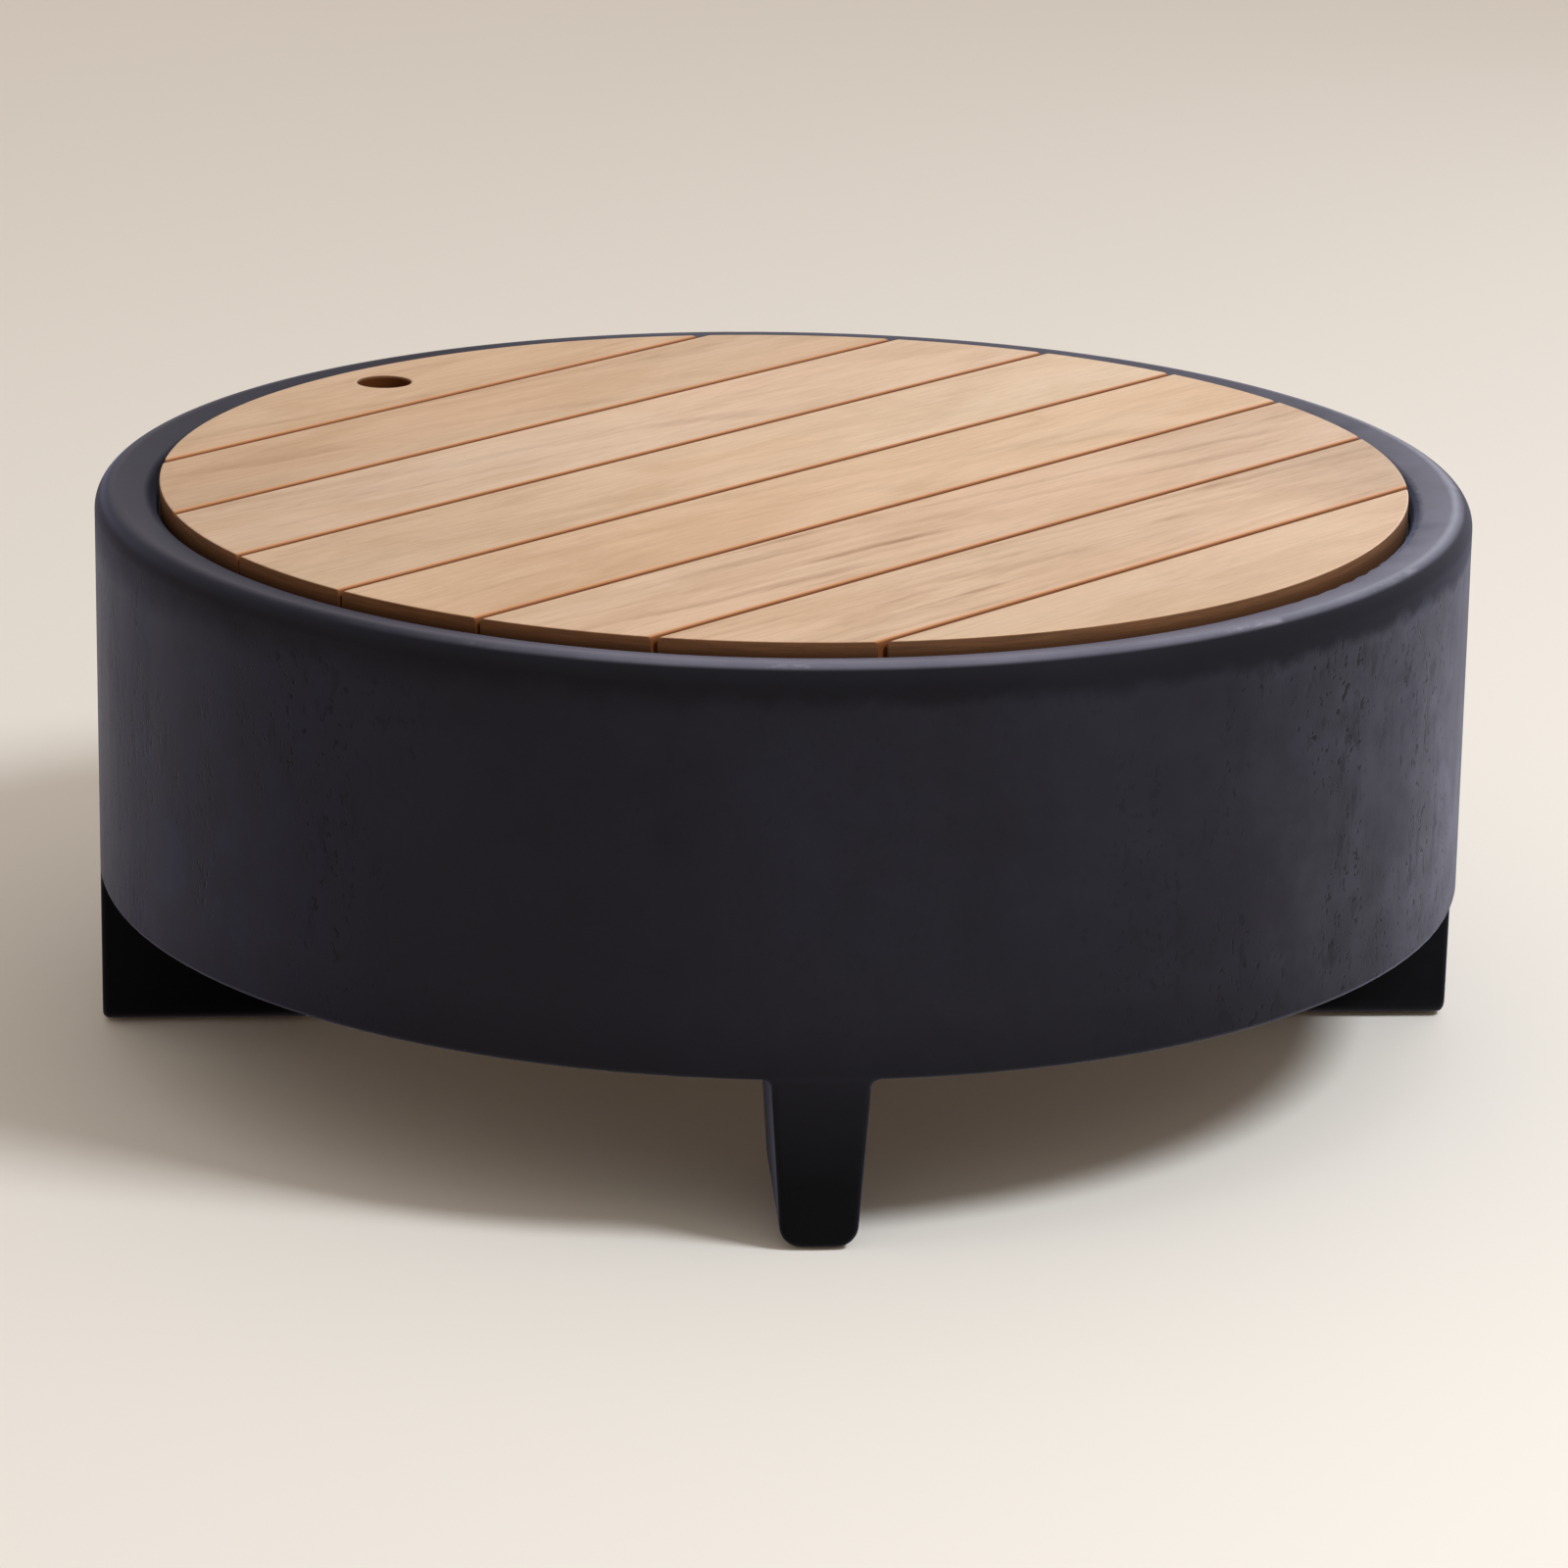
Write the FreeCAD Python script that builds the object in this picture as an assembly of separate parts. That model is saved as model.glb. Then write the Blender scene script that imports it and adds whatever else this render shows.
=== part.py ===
import FreeCAD, Part
import math
import os

# Fire pit table: a round concrete drum on four cast blade feet, a teak lid of boards that lies in a
# recess in its rim, and below the lid a gas burner with its controls in a niche in the rear wall.
# Millimetres. Origin on the floor under the drum's centre, +Z up, the lid's boards along X, the
# control niche and the lid's finger hole at +Y, the feet on the diagonals.

# Concrete drum
drum_radius = 610.0
rim_height = 497.0          # floor to the rim's crest
drum_bottom = 147.0         # floor to the drum's lower edge
wall_thickness = 32.0
rim_width = 54.0            # drum's outside to the lid recess
rim_outer_round = 18.0
rim_inner_round = 13.5
rim_fall = 8.5              # degrees that the rim's top falls towards the lid
lower_edge_round = 6.0      # drum's lower outer edge and the feet's outer edges
ledge_width = 28.0
ledge_round = 2.5
bowl_depth = 69.5           # lid ledge down to the fire deck
bowl_corner_round = 12.0
deck_thickness = 32.0
deck_edge_round = 3.0
deck_root_round = 20.0

# Blade feet, cast with the drum
foot_count = 4
foot_start_angle = 45.0
foot_top_width = 83.0       # at the drum's lower edge
foot_bottom_width = 63.0
foot_length = 190.0         # along the radius
foot_corner_round = 18.0
foot_root_round = 7.5
gusset_height = 80.0        # rise of the blade inside the wall
gusset_shoulder = 5.0
gusset_top_width = 20.0

# Glides under the feet
glide_radius = 9.0
glide_height = 8.0
glide_stand = 2.0           # how far a glide stands out of the foot
glide_inset = 45.0          # from either end of the foot
glide_clearance = 0.05

# Teak lid
lid_gap = 3.0               # lid to recess wall
lid_thickness = 24.0
lid_proud = 6.5             # lid's top above the rim's crest
board_count = 8
board_gap = 2.4
panel_trim = 10.2           # cut from each side of the glued-up boards to make the circle
board_edge_round = 5.0      # along the grooves between boards
lid_edge_round = 1.5        # round the lid's outer edge
finger_hole_radius = 25.0
finger_hole_margin = 51.0   # hole's centre to the lid's edge
finger_hole_round = 2.5
batten_width = 60.0
batten_thickness = 20.0
batten_end_bevel = 9.0
batten_clearance = 12.0     # batten end to the bowl wall
batten_hold = 44.0          # length under the outermost board
batten_short_margin = 2.0   # short batten's end to the joint between boards
bumper_radius = 9.0
bumper_thickness = 3.0
bumper_count = 8

# Lid screws, driven up through the battens
screw_radius = 2.2
screw_head_radius = 4.5
screw_head_depth = 3.0
screw_tip = 4.0
screw_bite = 16.0           # length in the board
screw_edge = 24.0           # from a board's edge, at least
screw_clearance = 0.05
recess_width = 1.0
recess_length = 5.0
recess_depth = 1.6

# Burner pan
pan_radius = 330.0
pan_clearance = 3.0
pan_flange = 22.0
pan_depth = 56.0
pan_sheet = 2.0
pan_bottom_round = 10.0

# Ring burner
tube_radius = 9.5
tube_wall = 1.5
spoke_radius = 8.0
burner_outer_radius = 215.0
burner_inner_radius = 112.0
burner_rise = 24.5          # pan floor to the tubes' centre
hub_radius = 19.0
hub_bore = 8.0
hub_cap = 4.0
spoke_count = 4
spoke_start_angle = 45.0
port_radius = 1.5
outer_port_count = 40
inner_port_count = 20
standoff_radius = 5.0
nipple_radius = 10.5
nipple_clearance = 0.3
locknut_flats = 34.0
locknut_height = 8.0

# Lava rock
rock_clearance = 0.3
rock_side_gap = 3.0
rock_over_tubes = 3.0
rock_edge_height = 9.0      # above the pan's flange
rock_crown = 15.0

# Burner elbow and feed hose
elbow_radius = 14.0
elbow_gap = 5.0             # below the lock nut
elbow_socket = 14.0         # nipple's length in the elbow
elbow_drop = 30.0           # elbow's top to its outlet's centre
elbow_reach = 26.0
stub_radius = 7.0
stub_length = 16.0
hose_nut_flats = 22.0
hose_nut_length = 20.0
hose_nut_offset = 4.0
hose_radius = 8.0
hose_bore = 5.0
thread_clearance = 0.05
run_share = 0.45            # share of the shorter run that an arc takes

# Control niche and panel
control_drop = 81.0         # deck's underside to the panel's centre
niche_width = 150.0
niche_height = 90.0
niche_round = 14.0
niche_edge_round = 4.0
panel_margin = 15.0
panel_sheet = 2.0
boss_margin = 4.0
boss_lip = 1.5
panel_screw_inset = 7.5
panel_screw_radius = 2.5
panel_screw_head_radius = 4.5
panel_screw_head_height = 3.0
panel_screw_length = 16.0
panel_round = 6.0

# Gas valve, stem and knob
knob_offset = -34.0
valve_width = 36.0
valve_height = 40.0
valve_depth = 52.0
bonnet_radius = 13.0
bonnet_length = 10.0
neck_radius = 8.0
neck_end = 4.0              # neck's end beyond the panel's face
neck_clearance = 0.2
valve_nut_flats = 22.0
valve_nut_height = 3.0
stem_radius = 4.0
stem_clearance = 0.05
stem_flat = 2.6             # D flat, from the stem's centre
chamber_radius = 9.5
chamber_length = 24.0
collar_thickness = 4.0
collar_clearance = 0.3
stem_tail = 10.0            # stem behind its collar
knob_radius = 20.0
knob_depth = 20.0
knob_standoff = 8.0         # knob's rear to the panel's face
knob_recess_radius = 14.0
knob_recess_depth = 6.0
knob_front_wall = 4.0
knob_front_round = 3.0
knob_flute_count = 14
knob_flute_radius = 2.2
pointer_width = 2.0
pointer_length = 11.0
pointer_depth = 1.2

# Gas inlet
inlet_offset = 30.0         # valve's side to the inlet's centre
inlet_radius = 7.94         # flare thread
inlet_body_radius = 9.5     # elbow and the shank through the panel's tab
inlet_relief = 2.0          # groove between shank and thread
inlet_relief_radius = 6.8
inlet_nose_radius = 5.5
inlet_nose = 3.0
inlet_bore = 4.0
inlet_free_length = 20.0
inlet_nut_flats = 25.0
inlet_nut_height = 6.0
inlet_shoulder_height = 8.0
inlet_clearance = 0.3
tab_width = 40.0
tab_end = 16.0              # tab's length past the inlet's centre

# Igniter
igniter_offset = 38.0
igniter_radius = 11.0
igniter_length = 58.0
igniter_flange_radius = 14.0
igniter_flange = 2.0
igniter_nut_flats = 28.0
igniter_nut_height = 4.0
igniter_clearance = 0.2
terminal_radius = 2.5
terminal_length = 8.0
button_radius = 8.0
button_stand = 6.0
button_length = 16.0
button_clearance = 0.05
button_round = 1.5
button_travel_room = 6.0

# Spark electrode, thermocouple and their leads
sensor_radius = 180.0       # place in the pan
sensor_angle = 10.0         # either side of +Y
insulator_radius = 4.5
insulator_above = 21.0
insulator_below = 24.0
sensor_flange_radius = 8.0
sensor_flange = 3.0
sensor_clearance = 0.3
rod_radius = 1.25
rod_above = 12.0
rod_below = 7.0
rod_clearance = 0.05
spark_lead_radius = 2.5
probe_radius = 3.0
probe_above = 30.0
probe_below = 22.0
probe_lead_radius = 1.5
probe_lead_side = 12.0      # its place on the valve, from the stem's axis
probe_lead_up = 14.0

# Levels and radii that follow from them
inner_radius = drum_radius - wall_thickness
recess_radius = drum_radius - rim_width
lid_radius = recess_radius - lid_gap
lid_top = rim_height + lid_proud
lid_bottom = lid_top - lid_thickness
ledge_height = lid_bottom - bumper_thickness
bowl_radius = recess_radius - ledge_width
deck_height = ledge_height - bowl_depth
deck_underside = deck_height - deck_thickness
board_pitch = 2 * (lid_radius + panel_trim) / board_count
batten_bottom = lid_bottom - batten_thickness
pan_under = deck_height - pan_depth
pan_floor = pan_under + pan_sheet
tube_level = pan_floor + burner_rise
foot_bottom = glide_stand
foot_inner = drum_radius - foot_length
elbow_top = pan_under - locknut_height - elbow_gap
nipple_length = pan_floor - elbow_top + elbow_socket
elbow_level = elbow_top - elbow_drop
control_level = deck_underside - control_drop
panel_width = niche_width + 2 * panel_margin
panel_height = niche_height + 2 * panel_margin
boss_half_width = panel_width / 2 + boss_margin
panel_face = math.sqrt(inner_radius**2 - boss_half_width**2) - boss_lip
panel_back = panel_face - panel_sheet
valve_front = panel_back - bonnet_length
valve_back = valve_front - valve_depth
inlet_x = knob_offset - valve_width / 2 - inlet_offset
inlet_y = valve_front - valve_depth / 2
tab_level = control_level - panel_height / 2

up = FreeCAD.Vector(0, 0, 1)
rearward = FreeCAD.Vector(0, 1, 0)
sideways = FreeCAD.Vector(1, 0, 0)
centre = FreeCAD.Vector(0, 0, 0)
nodes = {}


def on_plane(a, b, plane):
    if plane == "XY":
        return FreeCAD.Vector(a, b, 0)
    if plane == "XZ":
        return FreeCAD.Vector(a, 0, b)
    return FreeCAD.Vector(0, a, b)


# Closed wire through corners (a, b) or (a, b, radius) in a plane, the last kind rounded.
def outline(corners, plane):
    points = [on_plane(c[0], c[1], plane) for c in corners]
    spans = []
    for i, corner in enumerate(corners):
        here = points[i]
        radius = corner[2] if len(corner) > 2 else 0.0
        if radius == 0.0:
            spans.append((here, None, here))
            continue
        back = (points[i - 1] - here).normalize()
        ahead = (points[(i + 1) % len(points)] - here).normalize()
        half_angle = back.getAngle(ahead) / 2
        reach = radius / math.tan(half_angle)
        inward = (back + ahead).normalize()
        middle = here + inward * (radius / math.sin(half_angle) - radius)
        spans.append((here + back * reach, middle, here + ahead * reach))
    edges = []
    for i, (first, middle, last) in enumerate(spans):
        if middle is not None:
            edges.append(Part.Arc(first, middle, last).toShape())
        following = spans[(i + 1) % len(spans)][0]
        if (following - last).Length > 1e-6:
            edges.append(Part.LineSegment(last, following).toShape())
    return Part.Wire(edges)


def turned(corners):
    return Part.Face(outline(corners, "XZ")).revolve(centre, up, 360)


def prism(corners, plane, start, along):
    face = Part.Face(outline(corners, plane))
    face.translate(start)
    return face.extrude(along)


def rod(radius, length, base, direction):
    return Part.makeCylinder(radius, length, base, direction)


def hexagon(flats, height, base, direction):
    corner = flats / math.sqrt(3)
    points = [
        FreeCAD.Vector(corner * math.cos(math.radians(60 * k)), corner * math.sin(math.radians(60 * k)), 0)
        for k in range(6)
    ]
    prism_up = Part.Face(Part.makePolygon(points + points[:1])).extrude(up * height)
    prism_up.Placement = FreeCAD.Placement(base, FreeCAD.Rotation(up, direction))
    return prism_up


def hex_nut(flats, height, bore, base, direction):
    hole = rod(bore, height, base, direction)
    return hexagon(flats, height, base, direction).cut(hole)


def around_z(shape, angle):
    copy = shape.copy()
    copy.rotate(centre, up, angle)
    return copy


def polar(radius, angle, level):
    turn = math.radians(angle)
    return FreeCAD.Vector(radius * math.cos(turn), radius * math.sin(turn), level)


# Straight runs joined by tangent arcs, each as large as its two runs allow.
def route(points):
    edges = []
    radii = []
    last = points[0]
    for i in range(1, len(points) - 1):
        here = points[i]
        back = points[i - 1] - here
        ahead = points[i + 1] - here
        reach = run_share * min(back.Length, ahead.Length)
        half_angle = back.getAngle(ahead) / 2
        radius = reach * math.tan(half_angle)
        back.normalize()
        ahead.normalize()
        inward = (back + ahead).normalize()
        first = here + back * reach
        middle = here + inward * (radius / math.sin(half_angle) - radius)
        leave = here + ahead * reach
        edges.append(Part.LineSegment(last, first).toShape())
        edges.append(Part.Arc(first, middle, leave).toShape())
        radii.append(radius)
        last = leave
    edges.append(Part.LineSegment(last, points[-1]).toShape())
    return Part.Wire(edges), radii


def tube_along(name, points, radius):
    path, radii = route(points)
    start = (points[1] - points[0]).normalize()
    ring = Part.Wire([Part.Circle(points[0], start, radius).toShape()])
    tube = path.makePipeShell([ring], True, False)
    expected = math.pi * radius**2 * path.Length
    print(name, "least radius", round(min(radii), 1), "volume share", round(tube.Volume / expected, 4))
    return tube


def foot_half_width(level):
    taper = (foot_top_width - foot_bottom_width) / 2 / (drum_bottom - foot_bottom)
    return foot_bottom_width / 2 + taper * (level - foot_bottom)


# One blade foot on +X: its flush outer end with the root fillets, and the blade running inward.
def blade_foot():
    top = drum_bottom + gusset_height
    low = foot_half_width(foot_bottom)
    root = foot_half_width(drum_bottom)
    high = foot_half_width(top)
    spread = root + 2 * foot_root_round
    lap = drum_bottom + foot_root_round
    end_outline = [
        (-low, foot_bottom, foot_corner_round),
        (low, foot_bottom, foot_corner_round),
        (root, drum_bottom, foot_root_round),
        (spread, drum_bottom),
        (spread, lap),
        (-spread, lap),
        (-spread, drum_bottom),
        (-root, drum_bottom, foot_root_round),
    ]
    start = FreeCAD.Vector(inner_radius - spread, 0, 0)
    end = prism(end_outline, "YZ", start, sideways * (wall_thickness + 2 * spread))
    wall_ring = rod(drum_radius, lap, centre, up).cut(rod(inner_radius, lap, centre, up))
    end = end.common(wall_ring)
    blade_outline = [
        (-low, foot_bottom, foot_corner_round),
        (low, foot_bottom, foot_corner_round),
        (high, top),
        (-high, top),
    ]
    in_wall = inner_radius + wall_thickness / 2
    start = FreeCAD.Vector(foot_inner, 0, 0)
    blade = prism(blade_outline, "YZ", start, sideways * (in_wall - foot_inner))
    side_outline = [
        (foot_inner, foot_bottom, foot_corner_round),
        (in_wall, foot_bottom),
        (in_wall, top),
        (inner_radius - gusset_top_width, top),
        (foot_inner, drum_bottom + gusset_shoulder),
    ]
    side = prism(side_outline, "XZ", rearward * -spread, rearward * (2 * spread))
    return end.fuse(blade.common(side))


def foot_angles():
    return [foot_start_angle + 360.0 / foot_count * k for k in range(foot_count)]


def glide_places():
    places = []
    for angle in foot_angles():
        for radius in (foot_inner + glide_inset, drum_radius - glide_inset):
            places.append(polar(radius, angle, 0))
    return places


def panel_screw_places():
    across = panel_width / 2 - panel_screw_inset
    along = panel_height / 2 - panel_screw_inset
    return [(x, control_level + z) for x in (-across, across) for z in (-along, along)]


def panel_outline(width, height, corner):
    low = control_level - height / 2
    high = control_level + height / 2
    return [
        (-width / 2, low, corner),
        (width / 2, low, corner),
        (width / 2, high, corner),
        (-width / 2, high, corner),
    ]


def on_drum_surface(edge):
    return all(
        abs(math.hypot(p.x, p.y) - drum_radius) < 0.01 for p in edge.discretize(Number=5)
    )


def concrete_body():
    fall = math.radians(rim_fall)
    corner = rim_height + rim_outer_round * (1 / math.cos(fall) + math.tan(fall) - 1)
    drum = turned([
        (drum_radius, drum_bottom),
        (drum_radius, corner, rim_outer_round),
        (recess_radius, corner - rim_width * math.tan(fall), rim_inner_round),
        (recess_radius, ledge_height, ledge_round),
        (bowl_radius, ledge_height, ledge_round),
        (bowl_radius, deck_height, bowl_corner_round),
        (pan_radius + pan_clearance, deck_height, deck_edge_round),
        (pan_radius + pan_clearance, deck_underside),
        (inner_radius, deck_underside, deck_root_round),
        (inner_radius, drum_bottom),
    ])
    foot = blade_foot()
    body = drum.fuse([around_z(foot, angle) for angle in foot_angles()])
    boss_top = control_level + panel_height / 2 + boss_margin
    boss_low = control_level - panel_height / 2 - boss_margin
    in_wall = inner_radius + wall_thickness / 2
    boss = Part.makeBox(
        2 * boss_half_width, in_wall - panel_face, boss_top - boss_low,
        FreeCAD.Vector(-boss_half_width, panel_face, boss_low),
    )
    body = body.fuse(boss).removeSplitter()
    lower_edges = [e for e in body.Edges if on_drum_surface(e) and e.BoundBox.ZMax < drum_bottom + 0.01]
    body = body.makeFillet(lower_edge_round, lower_edges)
    through = rearward * (drum_radius - panel_face + wall_thickness)
    niche = prism(panel_outline(niche_width, niche_height, niche_round), "XZ", rearward * panel_face, through)
    body = body.cut(niche)
    mouth = [
        e for e in body.Edges
        if on_drum_surface(e) and e.BoundBox.YMin > 0 and abs(e.BoundBox.Center.x) < niche_width
        and e.BoundBox.ZMin > control_level - niche_height and e.BoundBox.ZMax < control_level + niche_height
    ]
    body = body.makeFillet(niche_edge_round, mouth)
    cuts = [rod(glide_radius + glide_clearance, glide_height, place, up) for place in glide_places()]
    for x, z in panel_screw_places():
        base = FreeCAD.Vector(x, panel_face, z)
        cuts.append(rod(panel_screw_radius + screw_clearance, panel_screw_length, base, rearward))
    return body.cut(cuts)


def foot_glides():
    return Part.makeCompound([rod(glide_radius, glide_height, place, up) for place in glide_places()])


def board_span(number):
    low = (number - board_count / 2) * board_pitch + board_gap / 2
    return low, low + board_pitch - board_gap


def lid_board(number):
    low, high = board_span(number)
    slab = Part.makeBox(
        2 * lid_radius, high - low, lid_thickness, FreeCAD.Vector(-lid_radius, low, lid_bottom)
    )
    eased = [
        e for e in slab.Edges
        if e.BoundBox.ZMin > lid_top - 0.01 and e.BoundBox.XLength > lid_radius
    ]
    slab = slab.makeFillet(board_edge_round, eased)
    board = slab.common(rod(lid_radius, lid_thickness, FreeCAD.Vector(0, 0, lid_bottom), up))
    rounded = [
        e for e in board.Edges
        if e.BoundBox.ZMin > lid_top - 0.01 and isinstance(e.Curve, Part.Circle)
    ]
    board = board.makeFillet(lid_edge_round, rounded)
    if number == board_count - 1:
        hole_y = lid_radius - finger_hole_margin
        board = board.cut(rod(finger_hole_radius, lid_thickness, FreeCAD.Vector(0, hole_y, lid_bottom), up))
        rims = [
            e for e in board.Edges
            if abs(e.BoundBox.XLength - 2 * finger_hole_radius) < 0.1 and e.BoundBox.ZLength < 0.01
        ]
        board = board.makeFillet(finger_hole_round, rims)
    return board


# Battens as (offset along X, half length along Y): two long ones reach the outermost boards, two
# short ones hold the middle four.
def batten_places():
    reach = bowl_radius - batten_clearance
    long_half = (board_count / 2 - 1) * board_pitch + board_gap / 2 + batten_hold
    short_half = (board_count / 2 - 2) * board_pitch - batten_short_margin
    long_offset = math.sqrt(reach**2 - long_half**2) - batten_width / 2
    short_offset = math.sqrt(reach**2 - short_half**2) - batten_width / 2
    return [
        (-short_offset, short_half), (-long_offset, long_half),
        (long_offset, long_half), (short_offset, short_half),
    ]


def screw_places():
    places = []
    for offset, half in batten_places():
        for number in range(board_count):
            low, high = board_span(number)
            low = max(low, -half)
            high = min(high, half)
            if high - low < screw_edge:
                continue
            if high - low < 3 * screw_edge:
                places.append((offset, (low + high) / 2))
                continue
            places.append((offset, low + screw_edge))
            places.append((offset, high - screw_edge))
    return places


def lid_batten(offset, half):
    beam_outline = [
        (-half, lid_bottom),
        (half, lid_bottom),
        (half - batten_end_bevel, batten_bottom),
        (-half + batten_end_bevel, batten_bottom),
    ]
    return prism(beam_outline, "YZ", sideways * (offset - batten_width / 2), sideways * batten_width)


def wood_screw():
    length = batten_thickness + screw_bite
    screw = turned([
        (0, 0), (screw_head_radius, 0), (screw_radius, screw_head_depth),
        (screw_radius, length - screw_tip), (0, length),
    ])
    for width, depth in ((recess_width, recess_length), (recess_length, recess_width)):
        slot = Part.makeBox(width, depth, recess_depth, FreeCAD.Vector(-width / 2, -depth / 2, 0))
        screw = screw.cut(slot)
    return screw


def screw_hole():
    length = batten_thickness + screw_bite
    wide = screw_radius + screw_clearance
    head = screw_head_radius + screw_clearance
    return turned([(0, 0), (head, 0), (wide, screw_head_depth), (wide, length), (0, length)])


def copies(shape, places, level):
    made = []
    for x, y in places:
        copy = shape.copy()
        copy.translate(FreeCAD.Vector(x, y, level))
        made.append(copy)
    return made


def lid_bumpers():
    radius = (bowl_radius + lid_radius) / 2
    step = 360.0 / bumper_count
    pads = [
        rod(bumper_radius, bumper_thickness, polar(radius, step * (k + 0.5), ledge_height), up)
        for k in range(bumper_count)
    ]
    return Part.makeCompound(pads)


def sensor_places():
    return polar(sensor_radius, 90 - sensor_angle, 0), polar(sensor_radius, 90 + sensor_angle, 0)


def burner_pan():
    inside = pan_radius - pan_sheet
    flange_radius = pan_radius + pan_flange
    flange_top = deck_height + pan_sheet
    pan = turned([
        (nipple_radius + nipple_clearance, pan_under),
        (pan_radius, pan_under, pan_bottom_round),
        (pan_radius, deck_height),
        (flange_radius, deck_height),
        (flange_radius, flange_top),
        (inside, flange_top, pan_sheet),
        (inside, pan_floor, pan_bottom_round - pan_sheet),
        (nipple_radius + nipple_clearance, pan_floor),
    ])
    spark, probe = sensor_places()
    holes = [
        rod(insulator_radius + sensor_clearance, deck_height, spark, up),
        rod(probe_radius + sensor_clearance, deck_height, probe, up),
    ]
    return pan.cut(holes)


# Gas ports drilled down into the top of a ring.
def ring_ports(radius, count):
    low = tube_level + tube_radius - 2 * tube_wall
    angles = [360.0 / count * (k + 0.5) for k in range(count)]
    return [rod(port_radius, 3 * tube_wall, polar(radius, angle, low), up) for angle in angles]


def joined(first, others):
    for other in others:
        first = first.fuse(other)
    return first


# Rings, spokes and nipple of the burner: its outside, or its bore when shrunk by the tube's wall.
def burner_tubes(shrink):
    level = FreeCAD.Vector(0, 0, tube_level)
    spokes = [
        rod(spoke_radius - shrink, burner_outer_radius, level, polar(1, angle, 0))
        for angle in [spoke_start_angle + 360.0 / spoke_count * k for k in range(spoke_count)]
    ]
    outer_ring = Part.makeTorus(burner_outer_radius, tube_radius - shrink, level)
    inner_ring = Part.makeTorus(burner_inner_radius, tube_radius - shrink, level)
    return joined(outer_ring, spokes + [inner_ring])


# Welded ring burner: two rings, spokes, a hub with its nipple through the pan, and standoffs.
def ring_burner():
    nipple_end = FreeCAD.Vector(0, 0, pan_floor - nipple_length)
    hub = rod(hub_radius, burner_rise + tube_radius + hub_cap, FreeCAD.Vector(0, 0, pan_floor), up)
    nipple = rod(nipple_radius, nipple_length, nipple_end, up)
    standoffs = []
    for k in range(spoke_count):
        angle = spoke_start_angle + 360.0 / spoke_count * (k + 0.5)
        foot = polar(burner_outer_radius, angle, pan_floor)
        standoffs.append(rod(standoff_radius, burner_rise - tube_radius + tube_wall / 2, foot, up))
    burner = joined(burner_tubes(0.0), [hub, nipple] + standoffs)
    gas_way = rod(hub_bore, nipple_length + burner_rise, nipple_end, up)
    burner = burner.cut(burner_tubes(tube_wall)).cut(gas_way)
    ports = ring_ports(burner_outer_radius, outer_port_count)
    ports += ring_ports(burner_inner_radius, inner_port_count)
    return burner.cut(ports)


def burner_locknut():
    base = FreeCAD.Vector(0, 0, pan_under - locknut_height)
    return hex_nut(locknut_flats, locknut_height, nipple_radius + thread_clearance, base, up)


def lava_rock_bed():
    side = pan_radius - pan_sheet - rock_side_gap
    bottom = pan_floor + rock_clearance
    over_tubes = tube_level + tube_radius + rock_over_tubes
    over_hub = tube_level + tube_radius + hub_cap + rock_over_tubes
    past_ring = burner_outer_radius + tube_radius + rock_over_tubes
    past_hub = hub_radius + rock_over_tubes
    edge = deck_height + rock_edge_height
    crown = edge + rock_crown
    crown_radius = (side**2 + rock_crown**2) / (2 * rock_crown)
    half_way = crown - crown_radius + math.sqrt(crown_radius**2 - (side / 2) ** 2)
    rise = Part.Arc(
        FreeCAD.Vector(side, 0, edge), FreeCAD.Vector(side / 2, 0, half_way), FreeCAD.Vector(0, 0, crown)
    ).toShape()
    corners = [
        (0, crown), (0, over_hub), (past_hub, over_hub), (past_hub, over_tubes), (past_ring, over_tubes),
        (past_ring, bottom), (side - pan_bottom_round, bottom), (side, bottom + pan_bottom_round),
        (side, edge),
    ]
    points = [FreeCAD.Vector(x, 0, z) for x, z in corners]
    runs = [Part.LineSegment(a, b).toShape() for a, b in zip(points, points[1:])]
    return Part.Face(Part.Wire(runs + [rise])).revolve(centre, up, 360)


def burner_elbow():
    corner = FreeCAD.Vector(0, 0, elbow_level)
    leg = rod(elbow_radius, elbow_drop, corner, up)
    outlet = rod(elbow_radius, elbow_reach, corner, rearward)
    stub = rod(stub_radius, stub_length, corner + rearward * elbow_reach, rearward)
    bend = Part.makeSphere(elbow_radius, corner)
    elbow = leg.fuse([outlet, stub, bend]).removeSplitter()
    socket_base = FreeCAD.Vector(0, 0, pan_floor - nipple_length)
    socket = rod(nipple_radius + thread_clearance, nipple_length, socket_base, up)
    down_bore = rod(hose_bore, elbow_drop, corner, up)
    out_bore = rod(hose_bore, elbow_reach + stub_length, corner, rearward)
    return elbow.cut([socket, down_bore, out_bore])


def hose_ends():
    start = FreeCAD.Vector(0, elbow_reach + hose_nut_offset + hose_nut_length, elbow_level)
    end = FreeCAD.Vector(knob_offset, valve_back - hose_nut_offset - hose_nut_length, control_level)
    return start, end


def hose_nuts():
    start, end = hose_ends()
    bore = stub_radius + thread_clearance
    at_burner = hex_nut(hose_nut_flats, hose_nut_length, bore, start - rearward * hose_nut_length, rearward)
    at_valve = hex_nut(hose_nut_flats, hose_nut_length, bore, end, rearward)
    return Part.makeCompound([at_burner, at_valve])


def feed_hose():
    start, end = hose_ends()
    points = [
        start,
        start + FreeCAD.Vector(0, 52, -4),
        start + FreeCAD.Vector(4, 104, -22),
        start + FreeCAD.Vector(2, 166, -42),
        end + FreeCAD.Vector(8, -166, -36),
        end + FreeCAD.Vector(2, -104, -20),
        end + FreeCAD.Vector(0, -52, -4),
        end,
    ]
    points[1].z = start.z
    points[-2].z = end.z
    hose = tube_along("feed hose", points, hose_radius)
    return hose.cut(tube_along("feed hose bore", points, hose_bore))


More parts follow.
